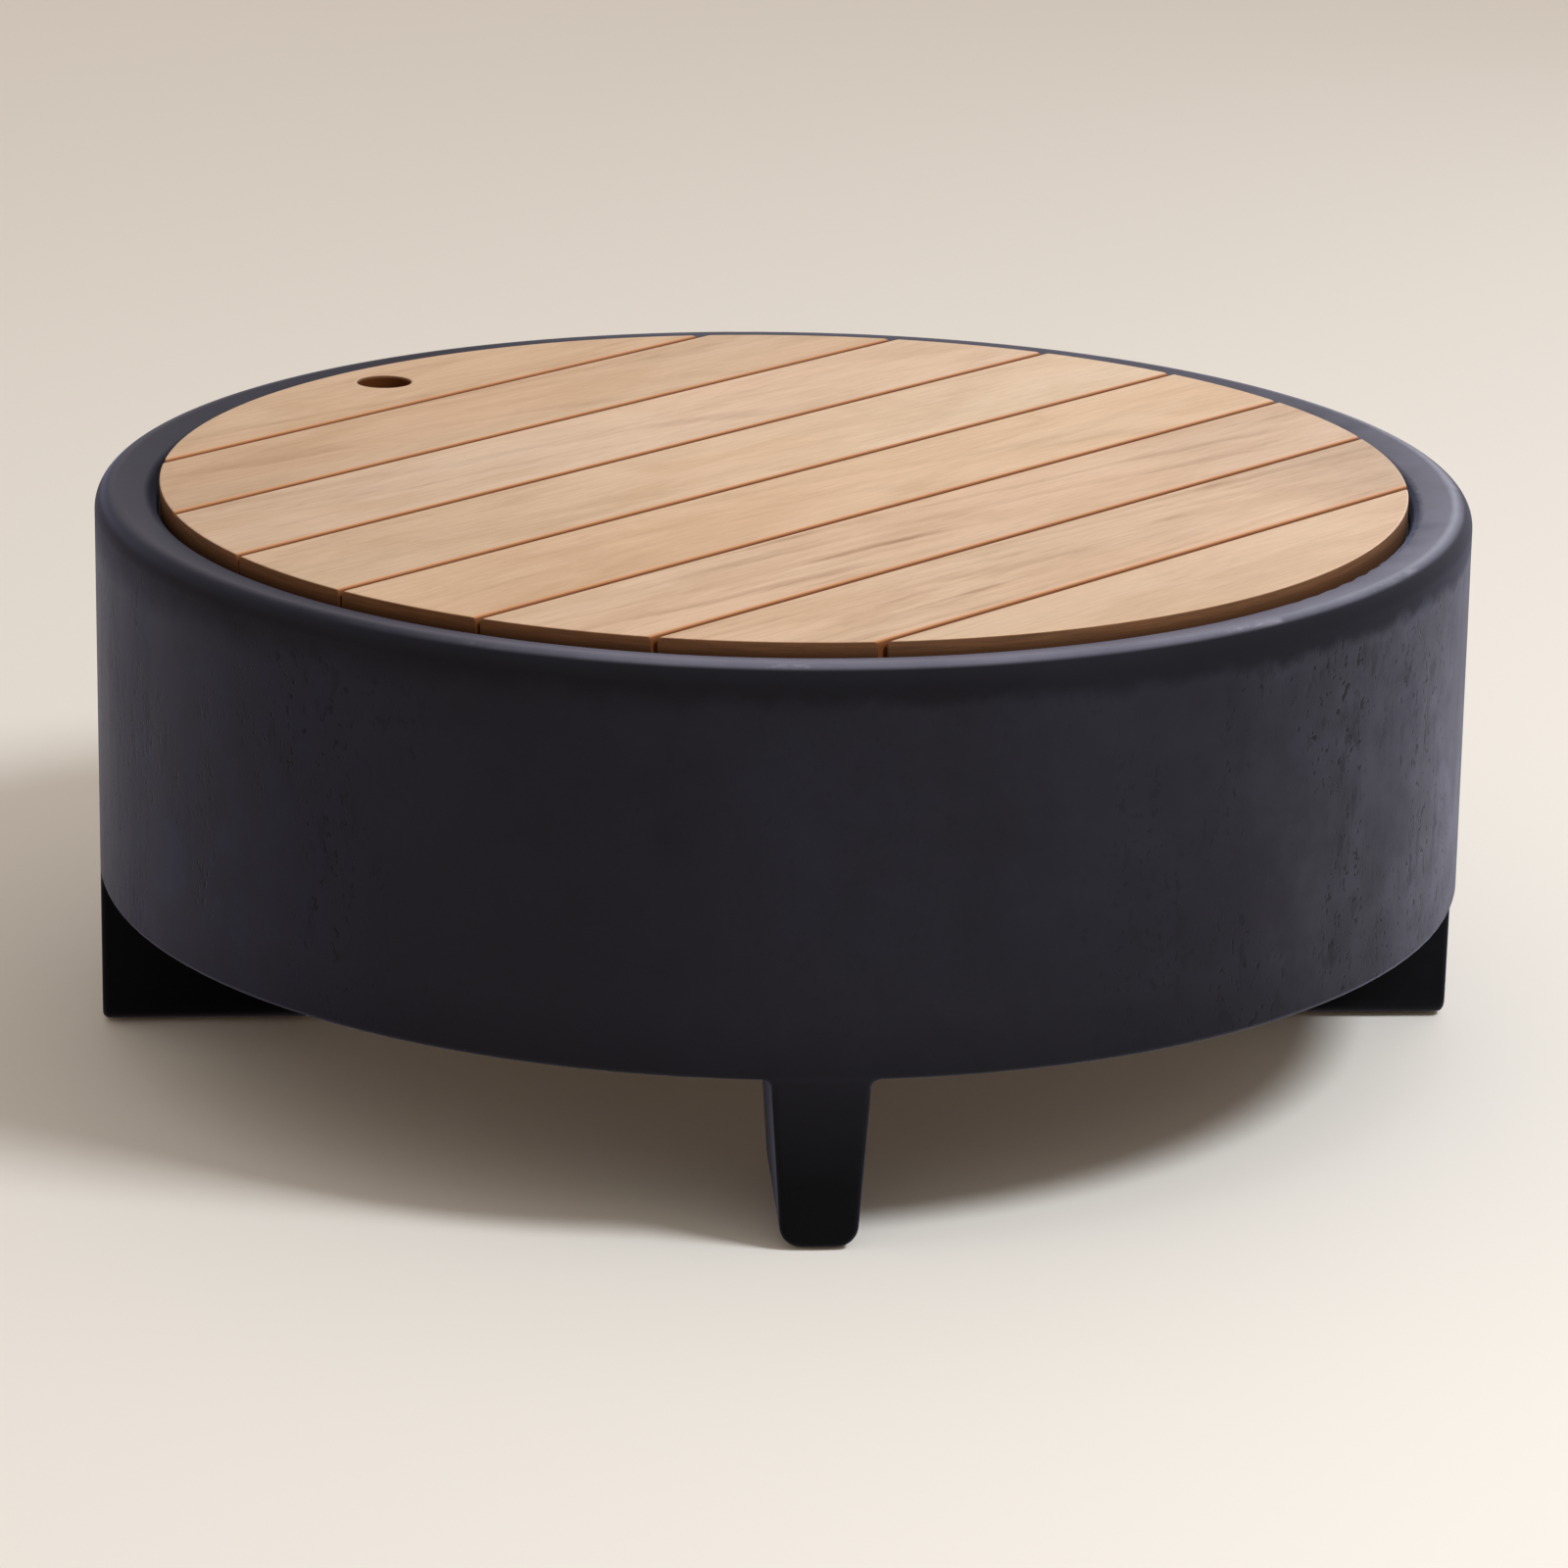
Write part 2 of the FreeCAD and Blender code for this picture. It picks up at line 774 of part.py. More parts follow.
def control_panel():
    edge = panel_outline(panel_width, panel_height, panel_round)
    sheet = prism(edge, "XZ", rearward * panel_back, rearward * panel_sheet)
    tab_low = inlet_y - tab_end
    tab = Part.makeBox(
        tab_width, panel_face - tab_low, panel_sheet,
        FreeCAD.Vector(inlet_x - tab_width / 2, tab_low, tab_level),
    )
    tab = tab.common(Part.makeBox(
        panel_width - 2 * panel_round, panel_face, rim_height,
        FreeCAD.Vector(-panel_width / 2 + panel_round, 0, 0),
    ))
    panel = sheet.fuse(tab).removeSplitter()
    holes = [
        rod(neck_radius + neck_clearance, panel_sheet,
            FreeCAD.Vector(knob_offset, panel_back, control_level), rearward),
        rod(igniter_radius + igniter_clearance, panel_sheet,
            FreeCAD.Vector(igniter_offset, panel_back, control_level), rearward),
        rod(inlet_body_radius + inlet_clearance, panel_sheet, on_inlet(tab_level), up),
    ]
    for x, z in panel_screw_places():
        base = FreeCAD.Vector(x, panel_back, z)
        holes.append(rod(panel_screw_radius + screw_clearance, panel_sheet, base, rearward))
    return panel.cut(holes)


def panel_screws():
    screws = []
    for x, z in panel_screw_places():
        seat = FreeCAD.Vector(x, panel_back, z)
        shank = rod(panel_screw_radius, panel_screw_length, seat, rearward)
        head = rod(panel_screw_head_radius, panel_screw_head_height,
                   seat - rearward * panel_screw_head_height, rearward)
        screws.append(head.fuse(shank).removeSplitter())
    return Part.makeCompound(screws)


def on_stem(y):
    return FreeCAD.Vector(knob_offset, y, control_level)


def chamber_span():
    front = valve_front - collar_thickness
    return front - chamber_length, front


def gas_valve_body():
    block = Part.makeBox(
        valve_width, valve_depth, valve_height,
        FreeCAD.Vector(knob_offset - valve_width / 2, valve_back, control_level - valve_height / 2),
    )
    bonnet = rod(bonnet_radius, bonnet_length, on_stem(valve_front), rearward)
    neck = rod(neck_radius, panel_sheet + neck_end, on_stem(panel_back), rearward)
    stub = rod(stub_radius, stub_length, on_stem(valve_back - stub_length), rearward)
    body = block.fuse([bonnet, neck, stub]).removeSplitter()
    back, front = chamber_span()
    chamber = rod(chamber_radius, chamber_length, on_stem(back), rearward)
    tail = back - stem_tail
    stem_bore = rod(stem_radius + stem_clearance, panel_face + neck_end - tail, on_stem(tail), rearward)
    outlet_bore = rod(hose_bore, stub_length + hose_bore, on_stem(valve_back - stub_length), rearward)
    return body.cut([chamber, stem_bore, outlet_bore])


def valve_locknut():
    bore = neck_radius + thread_clearance
    return hex_nut(valve_nut_flats, valve_nut_height, bore, on_stem(panel_face), rearward)


def stem_collar():
    back, front = chamber_span()
    base = on_stem(front - collar_clearance - collar_thickness)
    disc = rod(chamber_radius - collar_clearance, collar_thickness, base, rearward)
    return disc.cut(rod(stem_radius + stem_clearance, collar_thickness, base, rearward))


def knob_span():
    back = panel_face + knob_standoff
    return back, back + knob_depth


# Round stem with a flat on the stretch that the knob takes.
def d_stem(extra):
    back, front = chamber_span()
    knob_back, knob_front = knob_span()
    tail = front - collar_clearance - collar_thickness - stem_tail
    tip = knob_front - knob_front_wall
    stem = rod(stem_radius + extra, tip - tail, on_stem(tail), rearward)
    flat_level = control_level + stem_flat + extra
    flat = Part.makeBox(
        2 * knob_radius, knob_depth, knob_radius,
        FreeCAD.Vector(knob_offset - knob_radius, knob_back + knob_recess_depth, flat_level),
    )
    return stem.cut(flat)


def control_knob():
    back, front = knob_span()
    grip = turned([(0, 0), (knob_radius, 0), (knob_radius, knob_depth, knob_front_round), (0, knob_depth)])
    flutes = [
        rod(knob_flute_radius, knob_depth, polar(knob_radius + knob_flute_radius / 2, angle, 0), up)
        for angle in [360.0 / knob_flute_count * (k + 0.5) for k in range(knob_flute_count)]
    ]
    pointer = Part.makeBox(
        pointer_width, pointer_length, pointer_depth,
        FreeCAD.Vector(-pointer_width / 2, knob_radius - knob_flute_radius - pointer_length,
                       knob_depth - pointer_depth),
    )
    recess = rod(knob_recess_radius, knob_recess_depth, centre, up)
    knob = grip.cut(flutes + [pointer, recess])
    knob.rotate(centre, up, 180)
    knob.rotate(centre, sideways, -90)
    knob.translate(on_stem(back))
    return knob.cut(d_stem(stem_clearance))


def on_inlet(z):
    return FreeCAD.Vector(inlet_x, inlet_y, z)


# One brass fitting: from the valve's side, round a corner and down through the panel's tab.
def inlet_elbow():
    corner = on_inlet(control_level)
    nut_low = tab_level - inlet_nut_height
    thread_high = nut_low - inlet_relief
    thread_low = thread_high - inlet_free_length
    nose_low = thread_low - inlet_nose
    pieces = [
        rod(inlet_body_radius, inlet_offset, corner, sideways),
        Part.makeSphere(inlet_body_radius, corner),
        rod(inlet_body_radius, control_level - nut_low, on_inlet(nut_low), up),
        hexagon(inlet_nut_flats, inlet_shoulder_height, on_inlet(tab_level + panel_sheet), up),
        rod(inlet_relief_radius, inlet_relief, on_inlet(thread_high), up),
        rod(inlet_radius, inlet_free_length, on_inlet(thread_low), up),
        Part.makeCone(inlet_nose_radius, inlet_radius, inlet_nose, on_inlet(nose_low), up),
    ]
    elbow = pieces[0].fuse(pieces[1:]).removeSplitter()
    down_bore = rod(inlet_bore, control_level - nose_low, on_inlet(nose_low), up)
    side_bore = rod(inlet_bore, inlet_offset, corner, sideways)
    return elbow.cut([down_bore, side_bore])


def inlet_locknut():
    base = on_inlet(tab_level - inlet_nut_height)
    return hex_nut(inlet_nut_flats, inlet_nut_height, inlet_body_radius + thread_clearance, base, up)


def on_igniter(y):
    return FreeCAD.Vector(igniter_offset, y, control_level)


def igniter_body():
    back = panel_face - igniter_length
    barrel = rod(igniter_radius, igniter_length, on_igniter(back), rearward)
    flange = rod(igniter_flange_radius, igniter_flange, on_igniter(panel_face), rearward)
    terminal = rod(terminal_radius, terminal_length, on_igniter(back - terminal_length), rearward)
    body = barrel.fuse([flange, terminal]).removeSplitter()
    front = panel_face + igniter_flange
    depth = button_length - button_stand + button_travel_room
    return body.cut(rod(button_radius + button_clearance, depth, on_igniter(front - depth), rearward))


def igniter_nut():
    base = on_igniter(panel_back - igniter_nut_height)
    return hex_nut(igniter_nut_flats, igniter_nut_height, igniter_radius + thread_clearance, base, rearward)


def igniter_button():
    cap = turned([
        (0, 0), (button_radius, 0), (button_radius, button_length, button_round), (0, button_length),
    ])
    cap.rotate(centre, sideways, -90)
    cap.translate(on_igniter(panel_face + igniter_flange + button_stand - button_length))
    return cap


def electrode_insulator():
    spark, probe = sensor_places()
    low = spark + up * (pan_floor - insulator_below)
    body = rod(insulator_radius, insulator_below + insulator_above, low, up)
    flange = rod(sensor_flange_radius, sensor_flange, spark + up * pan_floor, up)
    bore = rod(rod_radius + rod_clearance, insulator_below + insulator_above, low, up)
    return body.fuse(flange).removeSplitter().cut(bore)


def spark_rod_low():
    spark, probe = sensor_places()
    return spark + up * (pan_floor - insulator_below - rod_below)


def electrode_rod():
    length = rod_below + insulator_below + insulator_above + rod_above
    return rod(rod_radius, length, spark_rod_low(), up)


def electrode_lead():
    start = spark_rod_low()
    end = on_igniter(panel_face - igniter_length - terminal_length)
    points = [
        start,
        start + FreeCAD.Vector(0, 0, -20),
        start + FreeCAD.Vector(1, 16, -38),
        start + FreeCAD.Vector(2, 50, -50),
        start + FreeCAD.Vector(3, 110, -56),
        end + FreeCAD.Vector(-1, -140, -20),
        end + FreeCAD.Vector(0, -80, -8),
        end + FreeCAD.Vector(0, -34, 0),
        end,
    ]
    return tube_along("electrode lead", points, spark_lead_radius)


def thermocouple():
    spark, probe = sensor_places()
    low = probe + up * (pan_floor - probe_below)
    body = rod(probe_radius, probe_below + probe_above, low, up)
    flange = rod(sensor_flange_radius, sensor_flange, probe + up * pan_floor, up)
    return body.fuse(flange).removeSplitter()


def thermocouple_lead():
    spark, probe = sensor_places()
    start = probe + up * (pan_floor - probe_below)
    end = FreeCAD.Vector(knob_offset + probe_lead_side, valve_back, control_level + probe_lead_up)
    points = [
        start,
        start + FreeCAD.Vector(0, 0, -10),
        start + FreeCAD.Vector(0, 12, -18),
        start + FreeCAD.Vector(2, 48, -22),
        start + FreeCAD.Vector(4, 104, -26),
        end + FreeCAD.Vector(2, -120, -7),
        end + FreeCAD.Vector(1, -70, -3),
        end + FreeCAD.Vector(0, -30, 0),
        end,
    ]
    return tube_along("thermocouple lead", points, probe_lead_radius)


def build_lid():
    level = batten_bottom
    holes = copies(screw_hole(), screw_places(), level)
    for number in range(board_count):
        nodes["lid_board_%d" % (number + 1)] = lid_board(number).cut(holes)
    for number, (offset, half) in enumerate(batten_places()):
        nodes["lid_batten_%d" % (number + 1)] = lid_batten(offset, half).cut(holes)
    nodes["lid_screws"] = Part.makeCompound(copies(wood_screw(), screw_places(), level))
    nodes["lid_bumpers"] = lid_bumpers()


def build_rest():
    for make in (
        concrete_body, foot_glides, burner_pan, ring_burner, burner_locknut, lava_rock_bed, burner_elbow,
        hose_nuts, feed_hose, control_panel, panel_screws, gas_valve_body, valve_locknut, stem_collar,
        control_knob, inlet_elbow, inlet_locknut, igniter_body, igniter_nut, igniter_button,
        electrode_insulator, electrode_rod, electrode_lead, thermocouple, thermocouple_lead,
    ):
        nodes[make.__name__] = make()
    nodes["valve_stem"] = d_stem(0.0)


build_lid()
build_rest()
os.makedirs("parts", exist_ok=True)
for name, shape in sorted(nodes.items()):
    if not shape.isValid():
        print(name, "is not a valid shape")
    print(name, "solids", len(shape.Solids), "volume", round(shape.Volume, 1))
    shape.exportStep("parts/%s.step" % name)
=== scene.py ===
import bmesh
import bpy
import math
import random
from mathutils import Matrix, Vector, noise


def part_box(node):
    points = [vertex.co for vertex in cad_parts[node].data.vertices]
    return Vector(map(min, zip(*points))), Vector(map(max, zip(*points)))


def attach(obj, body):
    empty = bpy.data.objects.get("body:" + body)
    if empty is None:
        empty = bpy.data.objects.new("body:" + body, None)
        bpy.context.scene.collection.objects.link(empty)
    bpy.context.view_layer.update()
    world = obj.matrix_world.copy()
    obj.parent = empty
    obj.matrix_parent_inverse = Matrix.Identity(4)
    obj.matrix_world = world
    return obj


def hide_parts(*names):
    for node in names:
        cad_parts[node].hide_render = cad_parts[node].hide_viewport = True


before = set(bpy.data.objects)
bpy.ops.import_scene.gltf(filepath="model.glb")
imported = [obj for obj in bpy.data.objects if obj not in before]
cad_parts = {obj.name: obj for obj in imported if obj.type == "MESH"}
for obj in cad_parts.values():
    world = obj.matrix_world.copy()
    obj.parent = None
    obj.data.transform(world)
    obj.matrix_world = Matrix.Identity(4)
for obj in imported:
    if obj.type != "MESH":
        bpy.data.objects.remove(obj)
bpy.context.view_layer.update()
print("frame loaded:", len(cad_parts), "nodes")

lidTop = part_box("lid_board_4")[1].z
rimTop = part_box("concrete_body")[1].z
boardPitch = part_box("lid_board_5")[0].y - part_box("lid_board_4")[0].y
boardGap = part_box("lid_board_5")[0].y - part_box("lid_board_4")[1].y
boardNames = ["lid_board_%d" % n for n in range(1, 9)]
battenNames = ["lid_batten_%d" % n for n in range(1, 5)]


# small helpers for node trees: a socket is linked, anything else is set
def feed(tree, socket, value):
    if isinstance(value, bpy.types.NodeSocket):
        tree.links.new(value, socket)
    else:
        socket.default_value = value


def calc(tree, operation, first, second=None, clamp=False):
    node = tree.nodes.new("ShaderNodeMath")
    node.operation = operation
    node.use_clamp = clamp
    feed(tree, node.inputs[0], first)
    if second is not None:
        feed(tree, node.inputs[1], second)
    return node.outputs[0]


def times(tree, *values):
    product = values[0]
    for value in values[1:]:
        product = calc(tree, "MULTIPLY", product, value)
    return product


def remap(tree, value, low, high, toLow=0.0, toHigh=1.0, smooth=False):
    node = tree.nodes.new("ShaderNodeMapRange")
    if smooth:
        node.interpolation_type = "SMOOTHSTEP"
    for socket, given in zip(node.inputs, (value, low, high, toLow, toHigh)):
        feed(tree, socket, given)
    return node.outputs[0]


def blend(tree, share, first, second, kind="MIX"):
    node = tree.nodes.new("ShaderNodeMix")
    node.data_type = "RGBA"
    node.blend_type = kind
    feed(tree, node.inputs[0], share)
    feed(tree, node.inputs[6], first)
    feed(tree, node.inputs[7], second)
    return node.outputs[2]


def fade(tree, share, first, second):
    node = tree.nodes.new("ShaderNodeMix")
    for socket, given in zip(node.inputs, (share, 0.5, first, second)):
        if socket.type != "VECTOR":
            feed(tree, socket, given)
    return node.outputs[0]


def mapped(tree, vector, scale=(1, 1, 1), turn=(0, 0, 0), shift=(0, 0, 0)):
    node = tree.nodes.new("ShaderNodeMapping")
    feed(tree, node.inputs["Vector"], vector)
    feed(tree, node.inputs["Location"], shift)
    node.inputs["Rotation"].default_value = turn
    node.inputs["Scale"].default_value = scale
    return node.outputs[0]


def cloud(tree, vector, scale, detail=3.0, rough=0.5, twist=0.0):
    node = tree.nodes.new("ShaderNodeTexNoise")
    feed(tree, node.inputs["Vector"], vector)
    feed(tree, node.inputs["Scale"], scale)
    node.inputs["Detail"].default_value = detail
    node.inputs["Roughness"].default_value = rough
    node.inputs["Distortion"].default_value = twist
    return node.outputs["Fac"]


def cells(tree, vector):
    node = tree.nodes.new("ShaderNodeTexVoronoi")
    feed(tree, node.inputs["Vector"], vector)
    node.inputs["Scale"].default_value = 1.0
    return node.outputs["Distance"]


def vectors(tree, operation, first, second=None):
    node = tree.nodes.new("ShaderNodeVectorMath")
    node.operation = operation
    feed(tree, node.inputs[0], first)
    if second is not None:
        feed(tree, node.inputs[1], second)
    return node.outputs


def axes(tree, vector):
    node = tree.nodes.new("ShaderNodeSeparateXYZ")
    feed(tree, node.inputs[0], vector)
    return node.outputs


def newGroup(name, inputs, outputs):
    tree = bpy.data.node_groups.new(name, "ShaderNodeTree")
    for socketName, kind, value in inputs:
        socket = tree.interface.new_socket(socketName, in_out="INPUT", socket_type="NodeSocket" + kind)
        socket.default_value = value
    for socketName, kind in outputs:
        tree.interface.new_socket(socketName, in_out="OUTPUT", socket_type="NodeSocket" + kind)
    return tree, tree.nodes.new("NodeGroupInput").outputs, tree.nodes.new("NodeGroupOutput").inputs


def newMaterial(name):
    material = bpy.data.materials.new(name)
    material.use_nodes = True
    tree = material.node_tree
    shader = tree.nodes["Principled BSDF"]
    place = tree.nodes.new("ShaderNodeTexCoord").outputs["Object"]
    return material, tree, shader, place


def useGroup(tree, group, **values):
    node = tree.nodes.new("ShaderNodeGroup")
    node.node_tree = group
    for socketName, value in values.items():
        feed(tree, node.inputs[socketName], value)
    return node.outputs


def bumpInto(tree, shader, height, strength, depth):
    node = tree.nodes.new("ShaderNodeBump")
    node.inputs["Strength"].default_value = strength
    node.inputs["Distance"].default_value = depth
    feed(tree, node.inputs["Height"], height)
    feed(tree, shader.inputs["Normal"], node.outputs[0])


def rgb(red, green, blue):
    linear = [((c / 255 + 0.055) / 1.055) ** 2.4 if c > 10 else c / 255 / 12.92 for c in (red, green, blue)]
    return (*linear, 1.0)


def dress(names, material):
    for name in names:
        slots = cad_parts[name].data.materials
        slots.clear()
        slots.append(material)


def addObject(name, data):
    piece = bpy.data.objects.new(name, data)
    bpy.context.scene.collection.objects.link(piece)
    return piece


# teak's figure; a pattern has its repeats per metre along and across the grain, then detail, roughness and
# twist, and an edge has the values where the pattern begins and is full
teakGrain = {
    "askew": (0, 0.055, 0.02),       # how the tree's heart lies to the board
    "ringWidth": 0.011,
    "wander": (1.6, 6.0, 3.0), "wanderBy": 0.040,
    "ripple": (11.0, 60.0, 2.0), "rippleBy": 0.006,
    "darkens": (0.0, 0.28),          # parts of a year's ring
    "pales": (0.34, 0.95),
    "faintYear": 0.25,               # years under this leave no line
    "patch": (1.8, 9.0, 3.0, 0.55), "patchEdge": (0.40, 0.66),
    "ringsOff": 0.35,                # share of the rings outside a patch
    "broken": (4.2, 26.0, 3.0), "brokenEdge": (0.38, 0.62, 0.3, 1.0),
    "streak": (6.5, 70.0, 5.0, 0.62), "streakEdge": (0.50, 0.76),
    "fibre": (14.0, 300.0, 4.0, 0.6), "fibreEdge": (0.34, 0.70), "fibreShare": 0.17, "fibreHeight": 0.6,
    "pores": (60.0, 1500.0, 1.0), "poreEdge": (0.58, 0.70), "poreShare": 0.12, "poreDepth": 0.5,
    "rosy": (1.1, 5.0, 2.0), "rosyEdge": (0.35, 0.65), "rosyTone": (255, 238, 226),
    "cloudy": (4.5, 17.0, 4.0, 0.6, 0.6), "cloudyEdge": (0.40, 0.66), "cloudyTone": (232, 225, 215),
    "tintShare": 0.5,
}


def makeTeakFigure():
    tree, given, out = newGroup(
        "teakFigure",
        [("Place", "Vector", (0, 0, 0)), ("Heart", "Vector", (0, 0, 0)),
         ("Rings", "Float", 0.5), ("Streaks", "Float", 0.5),
         ("Light", "Color", rgb(218, 189, 155)), ("Dark", "Color", rgb(150, 112, 78))],
        [("Color", "Color"), ("Height", "Float"), ("Figure", "Float")],
    )
    place = given["Place"]

    # a cloud drawn out along the grain
    def drawn(name):
        along, across, *shape = teakGrain[name]
        return cloud(tree, mapped(tree, place, (along, across, across)), 1.0, *shape)

    # distance from the tree's heart, which runs a little askew to the board
    heart = mapped(tree, place, turn=teakGrain["askew"], shift=given["Heart"])
    reach = vectors(tree, "LENGTH", vectors(tree, "MULTIPLY", heart, (0.0, 1.0, 1.0))["Vector"])["Value"]
    stray = calc(tree, "ADD", times(tree, drawn("wander"), teakGrain["wanderBy"]),
                 times(tree, drawn("ripple"), teakGrain["rippleBy"]))
    ring = calc(tree, "DIVIDE", calc(tree, "ADD", reach, stray), teakGrain["ringWidth"])
    year = tree.nodes.new("ShaderNodeTexWhiteNoise")
    year.noise_dimensions = "1D"
    feed(tree, year.inputs["W"], calc(tree, "FLOOR", ring))
    age = calc(tree, "FRACT", ring)
    line = times(
        tree, remap(tree, age, *teakGrain["darkens"], smooth=True),
        remap(tree, age, *teakGrain["pales"], 1.0, 0.0, smooth=True),
        remap(tree, year.outputs["Value"], teakGrain["faintYear"], 1.0),
        remap(tree, drawn("broken"), *teakGrain["brokenEdge"], smooth=True),
    )
    # soft patches decide where the figure and the grey streaks show at all
    patch = remap(tree, drawn("patch"), *teakGrain["patchEdge"], smooth=True)
    streak = remap(tree, drawn("streak"), *teakGrain["streakEdge"], smooth=True)
    fibre = drawn("fibre")
    pores = remap(tree, drawn("pores"), *teakGrain["poreEdge"])
    ringy = remap(tree, patch, 0.0, 1.0, teakGrain["ringsOff"], 1.0)
    figure = calc(tree, "ADD", times(tree, line, given["Rings"], ringy),
                  times(tree, streak, patch, given["Streaks"]))
    fibreShade = times(tree, remap(tree, fibre, *teakGrain["fibreEdge"]), teakGrain["fibreShare"])
    figure = calc(tree, "ADD", figure, fibreShade)
    figure = calc(tree, "ADD", figure, times(tree, pores, teakGrain["poreShare"]), clamp=True)
    color = blend(tree, figure, given["Light"], given["Dark"])
    rosy = remap(tree, drawn("rosy"), *teakGrain["rosyEdge"])
    # soft cloudy patches of tone, painted as the patchy sheen of the oiled boards
    cloudy = remap(tree, drawn("cloudy"), *teakGrain["cloudyEdge"], smooth=True)
    for where, tone in ((rosy, "rosyTone"), (cloudy, "cloudyTone")):
        share = times(tree, where, teakGrain["tintShare"])
        color = blend(tree, share, color, rgb(*teakGrain[tone]), "MULTIPLY")
    feed(tree, out["Color"], color)
    raised = times(tree, fibre, teakGrain["fibreHeight"])
    feed(tree, out["Height"], calc(tree, "SUBTRACT", raised, times(tree, pores, teakGrain["poreDepth"])))
    feed(tree, out["Figure"], figure)
    return tree


# fine lines and smears of brushed metal
brushing = {
    "lines": (14.0, 700.0, 900.0), "lineShape": (1.0, 3.0, 0.6), "lineShare": 0.6,
    "smear": (9.0, 3.0), "smearShare": 0.4,
    "roughEdge": (0.3, 0.7),
}


def makeBrushedLines():
    tree, given, out = newGroup(
        "brushedLines", [("Place", "Vector", (0, 0, 0)), ("Low", "Float", 0.25), ("High", "Float", 0.45)],
        [("Rough", "Float"), ("Height", "Float"), ("Smear", "Float")],
    )
    lines = cloud(tree, mapped(tree, given["Place"], brushing["lines"]), *brushing["lineShape"])
    smear = cloud(tree, given["Place"], *brushing["smear"])
    mixed = calc(tree, "ADD", times(tree, lines, brushing["lineShare"]),
                 times(tree, smear, brushing["smearShare"]))
    feed(tree, out["Rough"], remap(tree, mixed, *brushing["roughEdge"], given["Low"], given["High"]))
    feed(tree, out["Height"], lines)
    feed(tree, out["Smear"], smear)
    return tree


teakFigure = makeTeakFigure()
brushedLines = makeBrushedLines()
print("shared groups made")


# teak lid: every board has its own piece of the tree and its own tone
teakLook = {
    "light": [(210, 184, 158), (213, 187, 162), (215, 188, 163), (218, 193, 166),
              (222, 200, 176), (221, 198, 176), (212, 187, 162), (212, 186, 160)],
    "dark": (138, 106, 80),
    "rings": [0.26, 0.44, 0.46, 0.22, 0.22, 0.42, 0.46, 0.32],
    "streaks": [0.12, 0.44, 0.40, 0.14, 0.16, 0.52, 0.36, 0.24],
    "heart": [(0.02, 0.09), (-0.03, 0.05), (0.035, 0.07), (-0.05, 0.12),
              (0.04, 0.10), (0.0, 0.05), (-0.02, 0.06), (0.05, 0.09)],
    "apart": (1.7, 0.9),         # how far along and up the tree the next board was cut
    "endDarkening": (186, 182, 176),
    "leftShade": [0.08, 0.08, 0.08, 0.24, 0.36, 0.32, 0.32, 0.16],   # how far each board is painted darker to its left end, as shade where the light falls off
    "rightDarkening": [0.0, 0.36, 0.18, 0.0, 0.0, 0.0, 0.0, 0.0],
    "leftSpan": (0.2, -0.5),
    "rightSpan": (0.2, 0.36),
    "side": (112, 74, 46),       # the lid's outer edge: darker grain and painted shade, darker downwards
    "sideLow": (74, 48, 30),
    "sideGrain": (22.0, 22.0, 420.0), "sideShape": (1.0, 4.0, 0.6), "sideEdge": (0.3, 0.7),
    "sideDepth": (0.0002, 0.0011), "sideShare": 0.92,
    "lowDepth": (0.003, 0.014), "lowShare": 0.85,
    "groove": (188, 132, 88),    # eased edges in the grooves: painted shade, orange-brown
    "grooveDepth": (-0.0001, 0.0005),
    "grooveEdge": (0.0009, 0.0003),
    "edgeRound": 0.005,
    "seam": (98, 56, 26),
    "seamDepth": (0.0004, 0.0018), "seamShare": 0.95,
    # the finger hole's wall, painted shade darker with depth
    "hole": (84, 46, 20),
    "holePlace": (0.0, 0.502),
    "holeRadius": 0.0275,
    "holeDepth": (0.0008, 0.004),
    "rough": (0.5, 0.68),
    "specular": 0.08,
    "bump": (0.35, 0.0006),
}


# how far a point lies from the middle of the nearest groove
def grooveDistance(tree, place):
    pitches = calc(tree, "DIVIDE", axes(tree, place)["Y"], boardPitch)
    share = calc(tree, "FRACT", calc(tree, "ADD", pitches, 0.5))
    return times(tree, calc(tree, "ABSOLUTE", calc(tree, "SUBTRACT", share, 0.5)), boardPitch)


# one on the round and side of a groove, nothing on the lid's own edge
def grooveMask(tree, place, depth):
    edge = teakLook["edgeRound"]
    above = calc(tree, "MAXIMUM", calc(tree, "SUBTRACT", edge, depth), 0.0)
    inside = calc(tree, "SUBTRACT", edge * edge, times(tree, above, above))
    wide = calc(tree, "SUBTRACT", edge + boardGap / 2, calc(tree, "SQRT", calc(tree, "MAXIMUM", inside, 0.0)))
    over = calc(tree, "SUBTRACT", grooveDistance(tree, place), wide)
    return remap(tree, over, *teakLook["grooveEdge"], smooth=True)


def holeMask(tree, place):
    x, y = teakLook["holePlace"]
    reach = vectors(tree, "LENGTH", mapped(tree, place, (1, 1, 0), shift=(-x, -y, 0)))["Value"]
    return calc(tree, "LESS_THAN", reach, teakLook["holeRadius"])


